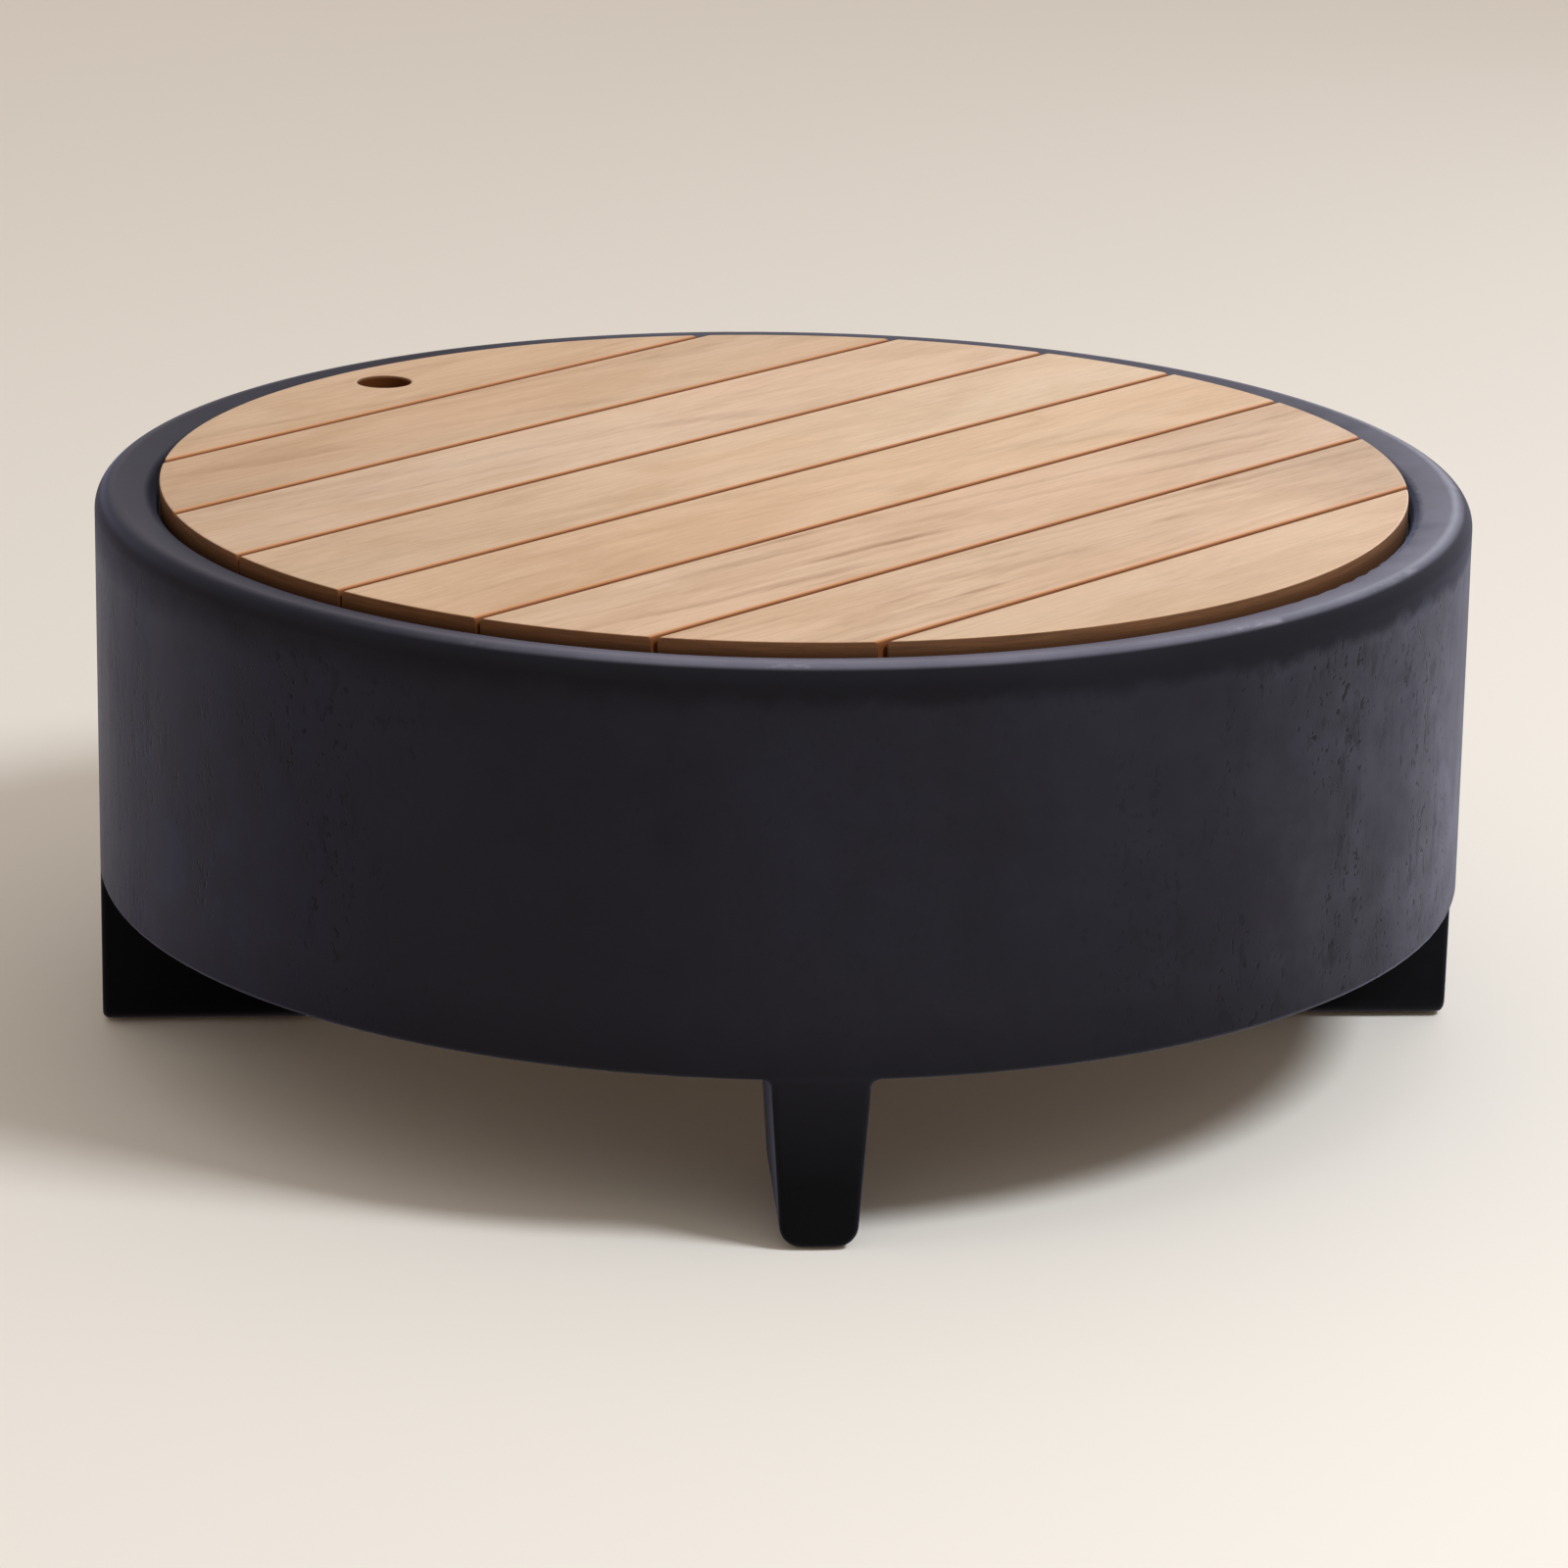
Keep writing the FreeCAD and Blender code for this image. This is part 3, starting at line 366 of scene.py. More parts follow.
def makeBoardTeak(index):
    material, tree, shader, place = newMaterial("teakBoard%d" % (index + 1))
    tone = {key: rgb(*teakLook[key]) for key in ("dark", "endDarkening", "side", "sideLow", "groove", "seam", "hole")}
    low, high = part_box(boardNames[index])
    middle = (low.y + high.y) / 2
    aside, under = teakLook["heart"][index]
    along, up = (step * index for step in teakLook["apart"])
    figure = useGroup(
        tree, teakFigure, Place=mapped(tree, place, shift=(along, 0.0, up)),
        Heart=(-along, aside - middle, under - lidTop - up),
        Rings=teakLook["rings"][index], Streaks=teakLook["streaks"][index],
        Light=rgb(*teakLook["light"][index]), Dark=tone["dark"],
    )
    part = axes(tree, place)
    depth = calc(tree, "SUBTRACT", lidTop, part["Z"])

    # nothing at the first depth, one at the second
    def sunk(key, smooth=True):
        return remap(tree, depth, *teakLook[key], smooth=smooth)

    # how far the board is darkened towards one end
    def darkenedToward(span, share):
        return times(tree, remap(tree, part["X"], *teakLook[span], smooth=True), teakLook[share][index])

    # to the left end the darkening is painted shade of the light falling off across the lid; at the right end
    # it only makes two boards darker
    ends = calc(tree, "ADD", darkenedToward("leftSpan", "leftShade"), darkenedToward("rightSpan", "rightDarkening"))
    color = blend(tree, ends, figure["Color"], tone["endDarkening"], "MULTIPLY")
    # the lid's outer edge: brown, streaked along the grain, partly painted shade
    sideGrain = cloud(tree, mapped(tree, place, teakLook["sideGrain"]), *teakLook["sideShape"])
    side = blend(tree, remap(tree, sideGrain, *teakLook["sideEdge"]), tone["sideLow"], tone["side"])
    color = blend(tree, times(tree, sunk("sideDepth"), teakLook["sideShare"]), color, side)
    # painted shade: the edge darkens down into the recess under the rim
    color = blend(tree, times(tree, sunk("lowDepth"), teakLook["lowShare"]), color, tone["sideLow"])
    # the grooves between boards: painted shade, an orange-brown round that darkens down to the seam
    inGroove = grooveMask(tree, place, depth)
    color = blend(tree, times(tree, inGroove, sunk("grooveDepth", False)), color, tone["groove"])
    seam = times(tree, inGroove, sunk("seamDepth", False), teakLook["seamShare"])
    color = blend(tree, seam, color, tone["seam"])
    if index == len(boardNames) - 1:
        # painted shade: the finger hole's wall darkens with depth
        color = blend(tree, times(tree, holeMask(tree, place), sunk("holeDepth")), color, tone["hole"])
    feed(tree, shader.inputs["Base Color"], color)
    feed(tree, shader.inputs["Roughness"], remap(tree, figure["Figure"], 0.0, 1.0, *teakLook["rough"]))
    shader.inputs["Specular IOR Level"].default_value = teakLook["specular"]
    bumpInto(tree, shader, figure["Height"], *teakLook["bump"])
    return material


for index, name in enumerate(boardNames):
    dress([name], makeBoardTeak(index))


# battens under the lid, across the boards
battenLook = {
    "light": (198, 163, 124),
    "dark": (128, 92, 60),
    "rings": 0.5,
    "streaks": 0.4,
    "heart": (0.0, 0.3, -0.4),
    "cutAt": (0.4, 0.2, 0.0),
    "rough": (0.55, 0.75),
    "bump": (0.4, 0.0006),
}


def makeBattenTeak():
    material, tree, shader, place = newMaterial("teakBatten")
    figure = useGroup(
        tree, teakFigure, Place=mapped(tree, place, turn=(0, 0, math.radians(90)), shift=battenLook["cutAt"]),
        Heart=battenLook["heart"], Rings=battenLook["rings"], Streaks=battenLook["streaks"],
        Light=rgb(*battenLook["light"]), Dark=rgb(*battenLook["dark"]),
    )
    feed(tree, shader.inputs["Base Color"], figure["Color"])
    feed(tree, shader.inputs["Roughness"], remap(tree, figure["Figure"], 0.0, 1.0, *battenLook["rough"]))
    bumpInto(tree, shader, figure["Height"], *battenLook["bump"])
    return material


dress(battenNames, makeBattenTeak())
print("teak lid dressed")


# concrete casting: the CAD body with its rim and wall divided further and set on their true rounds
drumCasting = {
    "outerRound": 0.018,
    "innerRound": 0.0135,
    "rimWidth": 0.054,
    "fall": math.radians(8.5),   # the rim's top slopes down to the lid
    "rimFloor": 0.4772,      # lowest level that counts as rim
    "wallFloor": 0.152,
    "holdLevels": (0.156, 0.4775),   # cuts that keep the wall's shading plain between its rounds
    "cuts": 2,
    "slack": 0.0004,
    "merge": 0.000002,
    "cutSlack": 0.00002,
    "crease": 35.0,          # degrees; edges sharper than this stay sharp
    "faceMatch": 0.85,       # how nearly a face must agree with the round that shades it
}


def reachOf(vert):
    return math.hypot(vert.co.x, vert.co.y)


def settle(vert, radius, level):
    scale = radius / reachOf(vert)
    vert.co = (vert.co.x * scale, vert.co.y * scale, level)


# which way the turned surface faces at a vertex, or nothing where it is not part of wall or rim
def turnedNormal(vert, drumRadius, rounds):
    reach, slack = reachOf(vert), drumCasting["slack"]
    outward = Vector((vert.co.x / reach, vert.co.y / reach, 0.0))
    up = Vector((0.0, 0.0, 1.0))
    if vert.co.z < rounds[0][1]:
        onWall = abs(reach - drumRadius) < slack and vert.co.z > drumCasting["wallFloor"]
        return outward if onWall else None
    for center, level, size, side, meet in rounds:
        across, above = reach - center, vert.co.z - level
        if across * side > meet and abs(math.hypot(across, above) - size) < slack:
            return (outward * across + up * above).normalized()
    if reach > rounds[1][0] - slack:
        return up * math.cos(drumCasting["fall"]) - outward * math.sin(drumCasting["fall"])
    return None


def buildCasting():
    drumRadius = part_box("concrete_body")[1].x
    outer, inner, fall, slack = (drumCasting[key] for key in ("outerRound", "innerRound", "fall", "slack"))
    ring, inRing = drumRadius - outer, drumRadius - drumCasting["rimWidth"] + inner
    inLevel = rimTop - outer + (outer - inner) / math.cos(fall) - (ring - inRing) * math.tan(fall)
    # each round: ring radius, level of its centre, size, side it faces, where it meets the slope
    rounds = [(ring, rimTop - outer, outer, 1, -math.sin(fall) * outer),
              (inRing, inLevel, inner, -1, math.sin(fall) * inner)]
    body = bmesh.new()
    body.from_mesh(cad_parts["concrete_body"].data)
    bmesh.ops.remove_doubles(body, verts=body.verts[:], dist=drumCasting["merge"])
    for level in drumCasting["holdLevels"]:
        bmesh.ops.bisect_plane(
            body, geom=body.verts[:] + body.edges[:] + body.faces[:], dist=drumCasting["cutSlack"],
            plane_co=(0, 0, level), plane_no=(0, 0, 1),
        )
    rim = {v for v in body.verts if v.co.z > drumCasting["rimFloor"] and reachOf(v) > inRing}
    wall = {v for v in body.verts if v.co.z > drumCasting["wallFloor"] and reachOf(v) > drumRadius - slack}
    skin = [e for e in body.edges if rim.issuperset(e.verts) or wall.issuperset(e.verts)]
    divided = bmesh.ops.subdivide_edges(body, edges=skin, cuts=drumCasting["cuts"], use_grid_fill=True)
    center, level, size, side, meet = rounds[0]
    for vert in [g for g in divided["geom_inner"] if isinstance(g, bmesh.types.BMVert)]:
        across, above = reachOf(vert) - center, vert.co.z - level
        if above > 0 and across > meet:
            scale = size / math.hypot(across, above)
            settle(vert, center + across * scale, level + above * scale)
        elif abs(reachOf(vert) - drumRadius) < slack:
            settle(vert, drumRadius, vert.co.z)
    facing = [turnedNormal(v, drumRadius, rounds) for v in body.verts]
    mesh = bpy.data.meshes.new("drumCasting")
    body.to_mesh(mesh)
    body.free()
    mesh.shade_smooth()
    mesh.set_sharp_from_angle(angle=math.radians(drumCasting["crease"]))
    # the turned faces are shaded by their true rounds, the rest as they are
    plain, shades = Vector((0, 0, 0)), []
    for face in mesh.polygons:
        for index in face.vertices:
            turned = facing[index]
            shades.append(turned if turned and turned.dot(face.normal) > drumCasting["faceMatch"] else plain)
    mesh.normals_split_custom_set(shades)
    return addObject("drumCasting", mesh)


# charcoal concrete: mottled, dust and painted reflection on the rim, a dark band of painted shade under it,
# a blue-grey bloom with painted sheen on the wall; a pattern has its scale, detail, roughness and twist,
# after its sideways and upright stretch if it has one, and a change has the values where it begins and ends,
# then its strengths there
concreteLook = {
    "litSide": (0.661, -0.75),      # the side toward the key light, where dust and painted reflection, bloom and painted sheen, and holes are strongest
    "farSide": (0.75, 0.661),        # the far side, with less dust and painted reflection on the rim
    "mottle": (5.0, 6.0, 0.62), "mottleEdge": (0.32, 0.68),
    "blotch": (2.2, 1.4, 1.8, 5.0, 0.6, 0.5),
    "streak": (16.0, 1.6, 1.0, 5.0, 0.62),
    "curdle": (26.0, 5.0, 0.62),
    "grain": (420.0, 2.0),
    "base": (31, 33, 44),
    "deep": (25, 25, 33),            # towards the feet
    "deepLevels": (0.14, 0.40),
    "band": (19, 19, 23),            # painted shade on the rim's round and a little below it
    "bandLow": 0.466,                # where the band ends, raggedly
    "bandRag": 0.034,
    "bandSoft": (0.1, -0.35, 0.008, 0.026),      # its lower edge is softer away from the lit side
    "bandFacing": (0.93, 0.74),
    "bandLevels": (0.44, 0.45),
    "bandShare": 0.6,
    # blue-grey bloom, with painted sheen where the wall turns away at its sides
    "bloomSheen": (92, 95, 113),
    "bloomSheenLeft": (42, 46, 82),
    "bloomSheenShare": 0.9,
    "bloomSheenRise": (0.302, 0.523, 0.224, 0.61),    # squared
    "bloomSheenEdge": (0.51, 0.59, 0.0, 0.5),
    "bloomSheenAway": (-0.26, -0.60, 0.0, 0.7),
    "bloomSheenBehind": (0.0, 0.5, 0.0, 0.6),
    "bloomSheenBlotch": (0.38, 0.62, 0.40, 1.0),
    "bloomSheenStreak": (0.3, 0.7, 0.72, 1.0),
    "bloomSheenCurdle": (0.34, 0.64, 0.42, 1.0),
    "plainAside": (-0.2, 0.2),       # where the left side's bluer bloom and painted sheen gives way
    "plainBehind": (0.0, 0.3),
    "edgeGlintOver": (0.1525, 0.1485),  # the drum's lower edge, at 0.1475, is painted paler as a highlight
    "edgeGlintUnder": (0.1455, 0.147),
    "edgeGlintShare": 0.6,
    # the feet, painted near black as shade
    "foot": (4, 4, 6),
    "footLevels": (0.1515, 0.1275),
    "footFacing": (0.6, 0.9),
    "footFade": (0.205, 0.055),
    "footShare": 0.96,
    # dust on the rim's top, and painted reflection of the bright surroundings
    "dustSheen": (104, 105, 121),
    "dustSheenFacing": (0.76, 0.93),
    "dustSheenLevels": (0.486, 0.489),
    "dustSheenSlope": (0.4930, 0.4965, 0.75, 1.0),
    "dustSheenAside": (-0.40, -0.05),
    "dustSheenBehind": (-0.1, 0.5, 1.0, 0.45),
    "dustSheenPatch": (14.0, 5.0, 0.65), "dustSheenPatchEdge": (0.3, 0.65, 0.72, 1.0),
    # scuffs along the rim's crest, and painted glints
    "scuffGlint": (180, 180, 196),
    "scratch": (14.0, 50.0, 1.0, 6.0, 0.7), "scratchEdge": (0.52, 0.70),
    "scuffGlintFacing": (0.80, 0.90),
    "scuffGlintEnd": (0.988, 0.96),
    "scuffGlintShare": 0.45,
    # dark spots, and painted shade inside the bug holes
    "pit": (11, 11, 15),
    "spot": (1.0, 0.45, 62.0, 4.0, 0.62), "spotEdge": (0.54, 0.68), "spotShare": 0.55,
    "speck": (1.0, 0.7, 170.0, 2.0), "speckEdge": (0.60, 0.67), "speckShare": 0.9,
    "cluster": (1.0, 0.4, 10.0, 3.0), "clusterEdge": (0.44, 0.58),
    "pitAside": (0.20, 0.46, 0.15, 1.0),
    "pitLevels": (0.146, 0.156),
    "pitShare": 0.9,
    "rough": (0.7, 1.3, 0.42, 0.58),
    "roundRough": 0.85,
    "roundFacing": (0.70, 0.85),
    "rimRough": 0.48,                # the rim's top is rubbed smoother than its round
    "rimFacing": (0.90, 0.989),
    "footRough": 0.75,
    "specular": 0.08,
    "sheen": 0.34,
    "sheenRough": 0.35,
    "sheenTone": (170, 178, 220),
    "bump": (0.5, 0.002),
    "mottleHeight": 0.5, "grainHeight": 0.08, "pitDepth": 0.35,
}


# metres from the middle towards a side
def alongSide(tree, place, side):
    return vectors(tree, "DOT_PRODUCT", place, (*concreteLook[side], 0.0))["Value"]


def makeConcrete():
    material, tree, shader, place = newMaterial("charcoalConcrete")
    look = concreteLook
    keys = ("base", "deep", "band", "bloomSheen", "bloomSheenLeft", "dustSheen", "scuffGlint", "pit", "foot")
    tone = {key: rgb(*look[key]) for key in keys}

    def even(value, key):
        return remap(tree, value, *look[key])

    def soft(value, key):
        return remap(tree, value, *look[key], smooth=True)

    def pattern(key):
        return cloud(tree, place, *look[key])

    def standing(key):
        sideways, upright, *shape = look[key]
        return cloud(tree, mapped(tree, place, (sideways, sideways, upright)), *shape)

    level = axes(tree, place)["Z"]
    aside = alongSide(tree, place, "litSide")
    behind = alongSide(tree, place, "farSide")
    normal = tree.nodes.new("ShaderNodeNewGeometry").outputs["Normal"]
    facing = axes(tree, normal)["Z"]
    spoke = vectors(tree, "NORMALIZE", mapped(tree, place, (1, 1, 0)))["Vector"]
    outward = vectors(tree, "DOT_PRODUCT", spoke, normal)["Value"]
    mottle, curdle, grain = pattern("mottle"), pattern("curdle"), pattern("grain")
    blotch, streak = standing("blotch"), standing("streak")
    mottled = times(tree, even(mottle, "mottleEdge"), even(level, "deepLevels"))
    color = blend(tree, mottled, tone["deep"], tone["base"])
    # the dark band of painted shade ends in a ragged line, with the bloom and painted sheen below it on both
    # sides and hardly at the front
    ragged = calc(tree, "ADD", level, times(tree, calc(tree, "SUBTRACT", curdle, 0.5), look["bandRag"]))
    width = even(aside, "bandSoft")
    below = remap(tree, ragged, calc(tree, "ADD", width, look["bandLow"]),
                  calc(tree, "SUBTRACT", look["bandLow"], width), smooth=True)
    rising = calc(tree, "POWER", even(aside, "bloomSheenRise"), 2.0)
    sides = calc(tree, "ADD", rising, soft(aside, "bloomSheenEdge"))
    sides = calc(tree, "MAXIMUM", sides, soft(aside, "bloomSheenAway"))
    sides = calc(tree, "MAXIMUM", sides, soft(behind, "bloomSheenBehind"))
    # bloom, and painted sheen that grows towards the sides
    bloomSheen = times(tree, soft(blotch, "bloomSheenBlotch"), even(streak, "bloomSheenStreak"), even(curdle, "bloomSheenCurdle"),
                  below, sides, look["bloomSheenShare"])
    plainer = calc(tree, "MAXIMUM", even(aside, "plainAside"), even(behind, "plainBehind"))
    bloomSheenTone = blend(tree, plainer, tone["bloomSheenLeft"], tone["bloomSheen"])
    color = blend(tree, bloomSheen, color, bloomSheenTone)
    # painted shade on the rim's outer round
    onBand = times(tree, remap(tree, below, 1.0, 0.0), soft(facing, "bandFacing"), even(level, "bandLevels"))
    color = blend(tree, times(tree, onBand, look["bandShare"]), color, tone["band"])
    # painted highlight along the drum's lower edge
    edgeGlint = times(tree, soft(level, "edgeGlintOver"), even(level, "edgeGlintUnder"), sides, look["edgeGlintShare"])
    color = blend(tree, edgeGlint, color, bloomSheenTone)
    # the feet are painted near black as shade; down the end of the front one the wall's tone fades slowly
    endFace = times(tree, soft(outward, "footFacing"), calc(tree, "SUBTRACT", 1.0, sides))
    foot = fade(tree, endFace, soft(level, "footLevels"), even(level, "footFade"))
    color = blend(tree, times(tree, foot, look["footShare"]), color, tone["foot"])
    # dust and painted reflection on the rim's top face, scuffs and painted glints where it turns down
    dustSheened = times(tree, soft(facing, "dustSheenFacing"), even(level, "dustSheenLevels"), even(level, "dustSheenSlope"),
                   soft(aside, "dustSheenAside"), soft(behind, "dustSheenBehind"),
                   even(pattern("dustSheenPatch"), "dustSheenPatchEdge"))
    color = blend(tree, dustSheened, color, tone["dustSheen"])
    # scuffs with painted glints along the crest
    scuffGlints = times(tree, soft(standing("scratch"), "scratchEdge"), even(facing, "scuffGlintFacing"),
                   even(facing, "scuffGlintEnd"), dustSheened, look["scuffGlintShare"])
    color = blend(tree, scuffGlints, color, tone["scuffGlint"])
    # soft dark spots, and small bug holes darkened as painted shade, in upright clusters on both sides of the
    # wall
    spots = times(tree, soft(standing("spot"), "spotEdge"), look["spotShare"])
    specks = times(tree, soft(standing("speck"), "speckEdge"), look["speckShare"])
    holes = times(tree, calc(tree, "MAXIMUM", spots, specks), soft(standing("cluster"), "clusterEdge"), below,
                  soft(calc(tree, "ABSOLUTE", aside), "pitAside"), even(level, "pitLevels"))
    color = blend(tree, times(tree, holes, look["pitShare"]), color, tone["pit"])
    feed(tree, shader.inputs["Base Color"], color)
    rough = even(calc(tree, "ADD", mottle, streak), "rough")
    rough = fade(tree, onBand, rough, look["roundRough"])
    rough = fade(tree, soft(facing, "roundFacing"), rough, look["roundRough"])
    rough = fade(tree, even(facing, "rimFacing"), rough, look["rimRough"])
    feed(tree, shader.inputs["Roughness"], fade(tree, foot, rough, look["footRough"]))
    shader.inputs["Specular IOR Level"].default_value = look["specular"]
    shader.inputs["Sheen Weight"].default_value = look["sheen"]
    shader.inputs["Sheen Roughness"].default_value = look["sheenRough"]
    shader.inputs["Sheen Tint"].default_value = rgb(*look["sheenTone"])
    height = calc(tree, "ADD", times(tree, mottle, look["mottleHeight"]),
                  times(tree, grain, look["grainHeight"]))
    height = calc(tree, "SUBTRACT", height, times(tree, holes, look["pitDepth"]))
    bumpInto(tree, shader, height, *look["bump"])
    return material


casting = buildCasting()
casting.data.materials.append(makeConcrete())
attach(casting, "table")
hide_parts("concrete_body")
print("concrete cast:", len(casting.data.polygons), "faces")


# metals, plastics and rubber of the burner and its controls
metals = {
    "brushedStainless": {
        "nodes": ["burner_pan", "control_panel"],
        "tone": (190, 190, 188), "stain": (152, 152, 150.4), "rough": (0.24, 0.42),
    },
    "heatTintedStainless": {
        "nodes": ["ring_burner", "electrode_rod"],
        "tone": (172, 166, 158), "stain": (122, 100, 84), "rough": (0.28, 0.5),
    },
    "zincPlate": {
        "nodes": ["lid_screws", "panel_screws", "valve_locknut", "valve_stem"],
        "tone": (196, 196, 190), "stain": (156.8, 156.8, 152), "rough": (0.25, 0.45),
    },
    "brass": {
        "nodes": ["burner_locknut", "burner_elbow", "hose_nuts", "gas_valve_body", "inlet_elbow",
                  "inlet_locknut", "stem_collar"],
        "tone": (205, 168, 98), "stain": (168, 126, 68), "rough": (0.22, 0.42),
    },
    "copper": {
        "nodes": ["thermocouple"],
        "tone": (204, 132, 96), "stain": (160, 92, 64), "rough": (0.28, 0.46),
    },
}
plastics = {
    "hoseRubber": {"nodes": [], "tone": (22, 22, 23), "rough": (0.5, 0.7)},
    "knobBlack": {"nodes": ["control_knob"], "tone": (24, 24, 26), "rough": (0.38, 0.55)},
    "buttonBlack": {"nodes": ["igniter_button"], "tone": (30, 30, 32), "rough": (0.25, 0.4)},
    "igniterBlack": {"nodes": ["igniter_body", "igniter_nut"], "tone": (28, 28, 30), "rough": (0.4, 0.6)},
    "bumperRubber": {"nodes": ["lid_bumpers", "foot_glides"], "tone": (34, 33, 32), "rough": (0.6, 0.8)},
    "porcelain": {"nodes": ["electrode_insulator"], "tone": (226, 222, 208), "rough": (0.15, 0.28)},
}
finishLook = {
    "stainEdge": (0.35, 0.7),
    "metalBump": (0.12, 0.0003),
    "smear": (30.0, 3.0), "smearEdge": (0.3, 0.7),
    "paler": (1.25, 4),      # a plastic's smears: its tone times the first, and the second more
    "grain": (900.0, 2.0),
    "plasticBump": (0.15, 0.0003),
}


def makeMetal(name):
    material, tree, shader, place = newMaterial(name)
    low, high = metals[name]["rough"]
    lines = useGroup(tree, brushedLines, Place=place, Low=low, High=high)
    stained = remap(tree, lines["Smear"], *finishLook["stainEdge"])
    tone, stain = (rgb(*metals[name][key]) for key in ("tone", "stain"))
    feed(tree, shader.inputs["Base Color"], blend(tree, stained, tone, stain))
    feed(tree, shader.inputs["Roughness"], lines["Rough"])
    shader.inputs["Metallic"].default_value = 1.0
    bumpInto(tree, shader, lines["Height"], *finishLook["metalBump"])
    return material


def makePlastic(name):
    material, tree, shader, place = newMaterial(name)
    tone = plastics[name]["tone"]
    factor, more = finishLook["paler"]
    paler = rgb(*[c * factor + more for c in tone])
    smear = cloud(tree, place, *finishLook["smear"])
    rough = remap(tree, smear, *finishLook["smearEdge"], *plastics[name]["rough"])
    feed(tree, shader.inputs["Base Color"], blend(tree, smear, rgb(*tone), paler))
    feed(tree, shader.inputs["Roughness"], rough)
    bumpInto(tree, shader, cloud(tree, place, *finishLook["grain"]), *finishLook["plasticBump"])
    return material


finishes = {name: makeMetal(name) for name in metals}
finishes.update({name: makePlastic(name) for name in plastics})
for name, look in {**metals, **plastics}.items():
    dress(look["nodes"], finishes[name])
print("burner and controls dressed")


# hose and leads inside the drum, each on its own smooth line
leads = {
    "feedHose": {
        "node": "feed_hose", "slot": "hose", "finish": "hoseRubber",
        "length": 0.446, "diameter": 0.016, "stiffness": "stiff",
        "route": [(0.0, 0.05, 0.308), (0.0, 0.102, 0.308), (0.004, 0.154, 0.286), (0.002, 0.216, 0.266),
                  (-0.026, 0.31481, 0.258), (-0.032, 0.37681, 0.274), (-0.034, 0.42881, 0.294),
                  (-0.034, 0.48081, 0.294)],
    },
    "sparkLead": {
        "node": "electrode_lead", "slot": "lead_rubber", "finish": "hoseRubber",
        "length": 0.357, "diameter": 0.005, "stiffness": "medium",
        "route": [(0.03126, 0.17727, 0.322), (0.03126, 0.17727, 0.302), (0.03226, 0.19327, 0.284),
                  (0.03326, 0.22727, 0.272), (0.03426, 0.28727, 0.266), (0.037, 0.36281, 0.274),
                  (0.038, 0.42281, 0.286), (0.038, 0.46881, 0.294), (0.038, 0.50281, 0.294)],
    },
    "probeLead": {
        "node": "thermocouple_lead", "slot": "copper", "finish": "copper",
        "length": 0.340, "diameter": 0.003, "stiffness": "stiff",
        "route": [(-0.03126, 0.17727, 0.331), (-0.03126, 0.17727, 0.321), (-0.03126, 0.18927, 0.313),
                  (-0.02926, 0.22527, 0.309), (-0.02726, 0.28127, 0.305), (-0.02, 0.38481, 0.301),
                  (-0.021, 0.43481, 0.305), (-0.022, 0.47481, 0.308), (-0.022, 0.50481, 0.308)],
    },
}

leadCurve = {"bevel": 5, "steps": 10, "order": 3}


def buildLead(name):
    lead = leads[name]
    curve = bpy.data.curves.new(name, "CURVE")
    curve.dimensions = "3D"
    curve.bevel_depth = lead["diameter"] / 2
    curve.bevel_resolution = leadCurve["bevel"]
    curve.resolution_u = leadCurve["steps"]
    curve.use_fill_caps = True
    line = curve.splines.new("NURBS")
    line.points.add(len(lead["route"]) - 1)
    for point, place in zip(line.points, lead["route"]):
        point.co = (*place, 1.0)
    line.order_u = leadCurve["order"]
    line.use_endpoint_u = True
    curve.materials.append(finishes[lead["finish"]])
    piece = addObject(name, curve)
    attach(piece, "table")
    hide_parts(lead["node"])


for name in leads:
    buildLead(name)
print("hose and leads laid:", len(leads))


# lava rock: a heap of chunks over the burner
rockHeap = {
    "chunks": 760,
    "shapes": 14,
    "size": (0.013, 0.024),
    "stretch": (0.75, 1.15),
    "wall": 0.006,       # kept clear of the pan's side
    "crown": 0.016,      # how much lower the heap lies at its edge
    "sunk": (0.0, 0.004, 0.010, 0.024),
    "rounded": 0.6,
    "lumps": 1.3, "lumpy": 0.45,
    "apart": (7.3, 3.1, 1.7),    # how far into the noise the next shape's lumps lie
    "seed": 7,
}


def chunkShape(seed):
    mesh = bmesh.new()
    bmesh.ops.create_cube(mesh, size=2.0)
    bmesh.ops.subdivide_edges(mesh, edges=mesh.edges[:], cuts=1, use_grid_fill=True)
    bmesh.ops.smooth_vert(
        mesh, verts=mesh.verts[:], factor=rockHeap["rounded"],
        use_axis_x=True, use_axis_y=True, use_axis_z=True,
    )
    start = Vector([seed * step for step in rockHeap["apart"]])
    for vert in mesh.verts:
        vert.co *= 1.0 + rockHeap["lumpy"] * noise.noise(vert.co * rockHeap["lumps"] + start)
    return mesh


# where a chunk lies, how it is turned and how it is stretched
def throwChunk(picker, reach, top):
    size = picker.uniform(*rockHeap["size"])
    radius = (reach - size) * math.sqrt(picker.random())
    angle = picker.uniform(0, 2 * math.pi)
    crown = top - size - rockHeap["crown"] * (radius / reach) ** 2
    level = crown - picker.choice(rockHeap["sunk"])
    stretch = [size * picker.uniform(*rockHeap["stretch"]) for axis in range(3)]
    place = Matrix.Translation((radius * math.cos(angle), radius * math.sin(angle), level))
    spin = picker.uniform(0, 6.28)
    axle = Vector((picker.gauss(0, 1), picker.gauss(0, 1), picker.gauss(0, 1)))
    return place @ Matrix.Rotation(spin, 4, axle) @ Matrix.Diagonal((*stretch, 1.0))


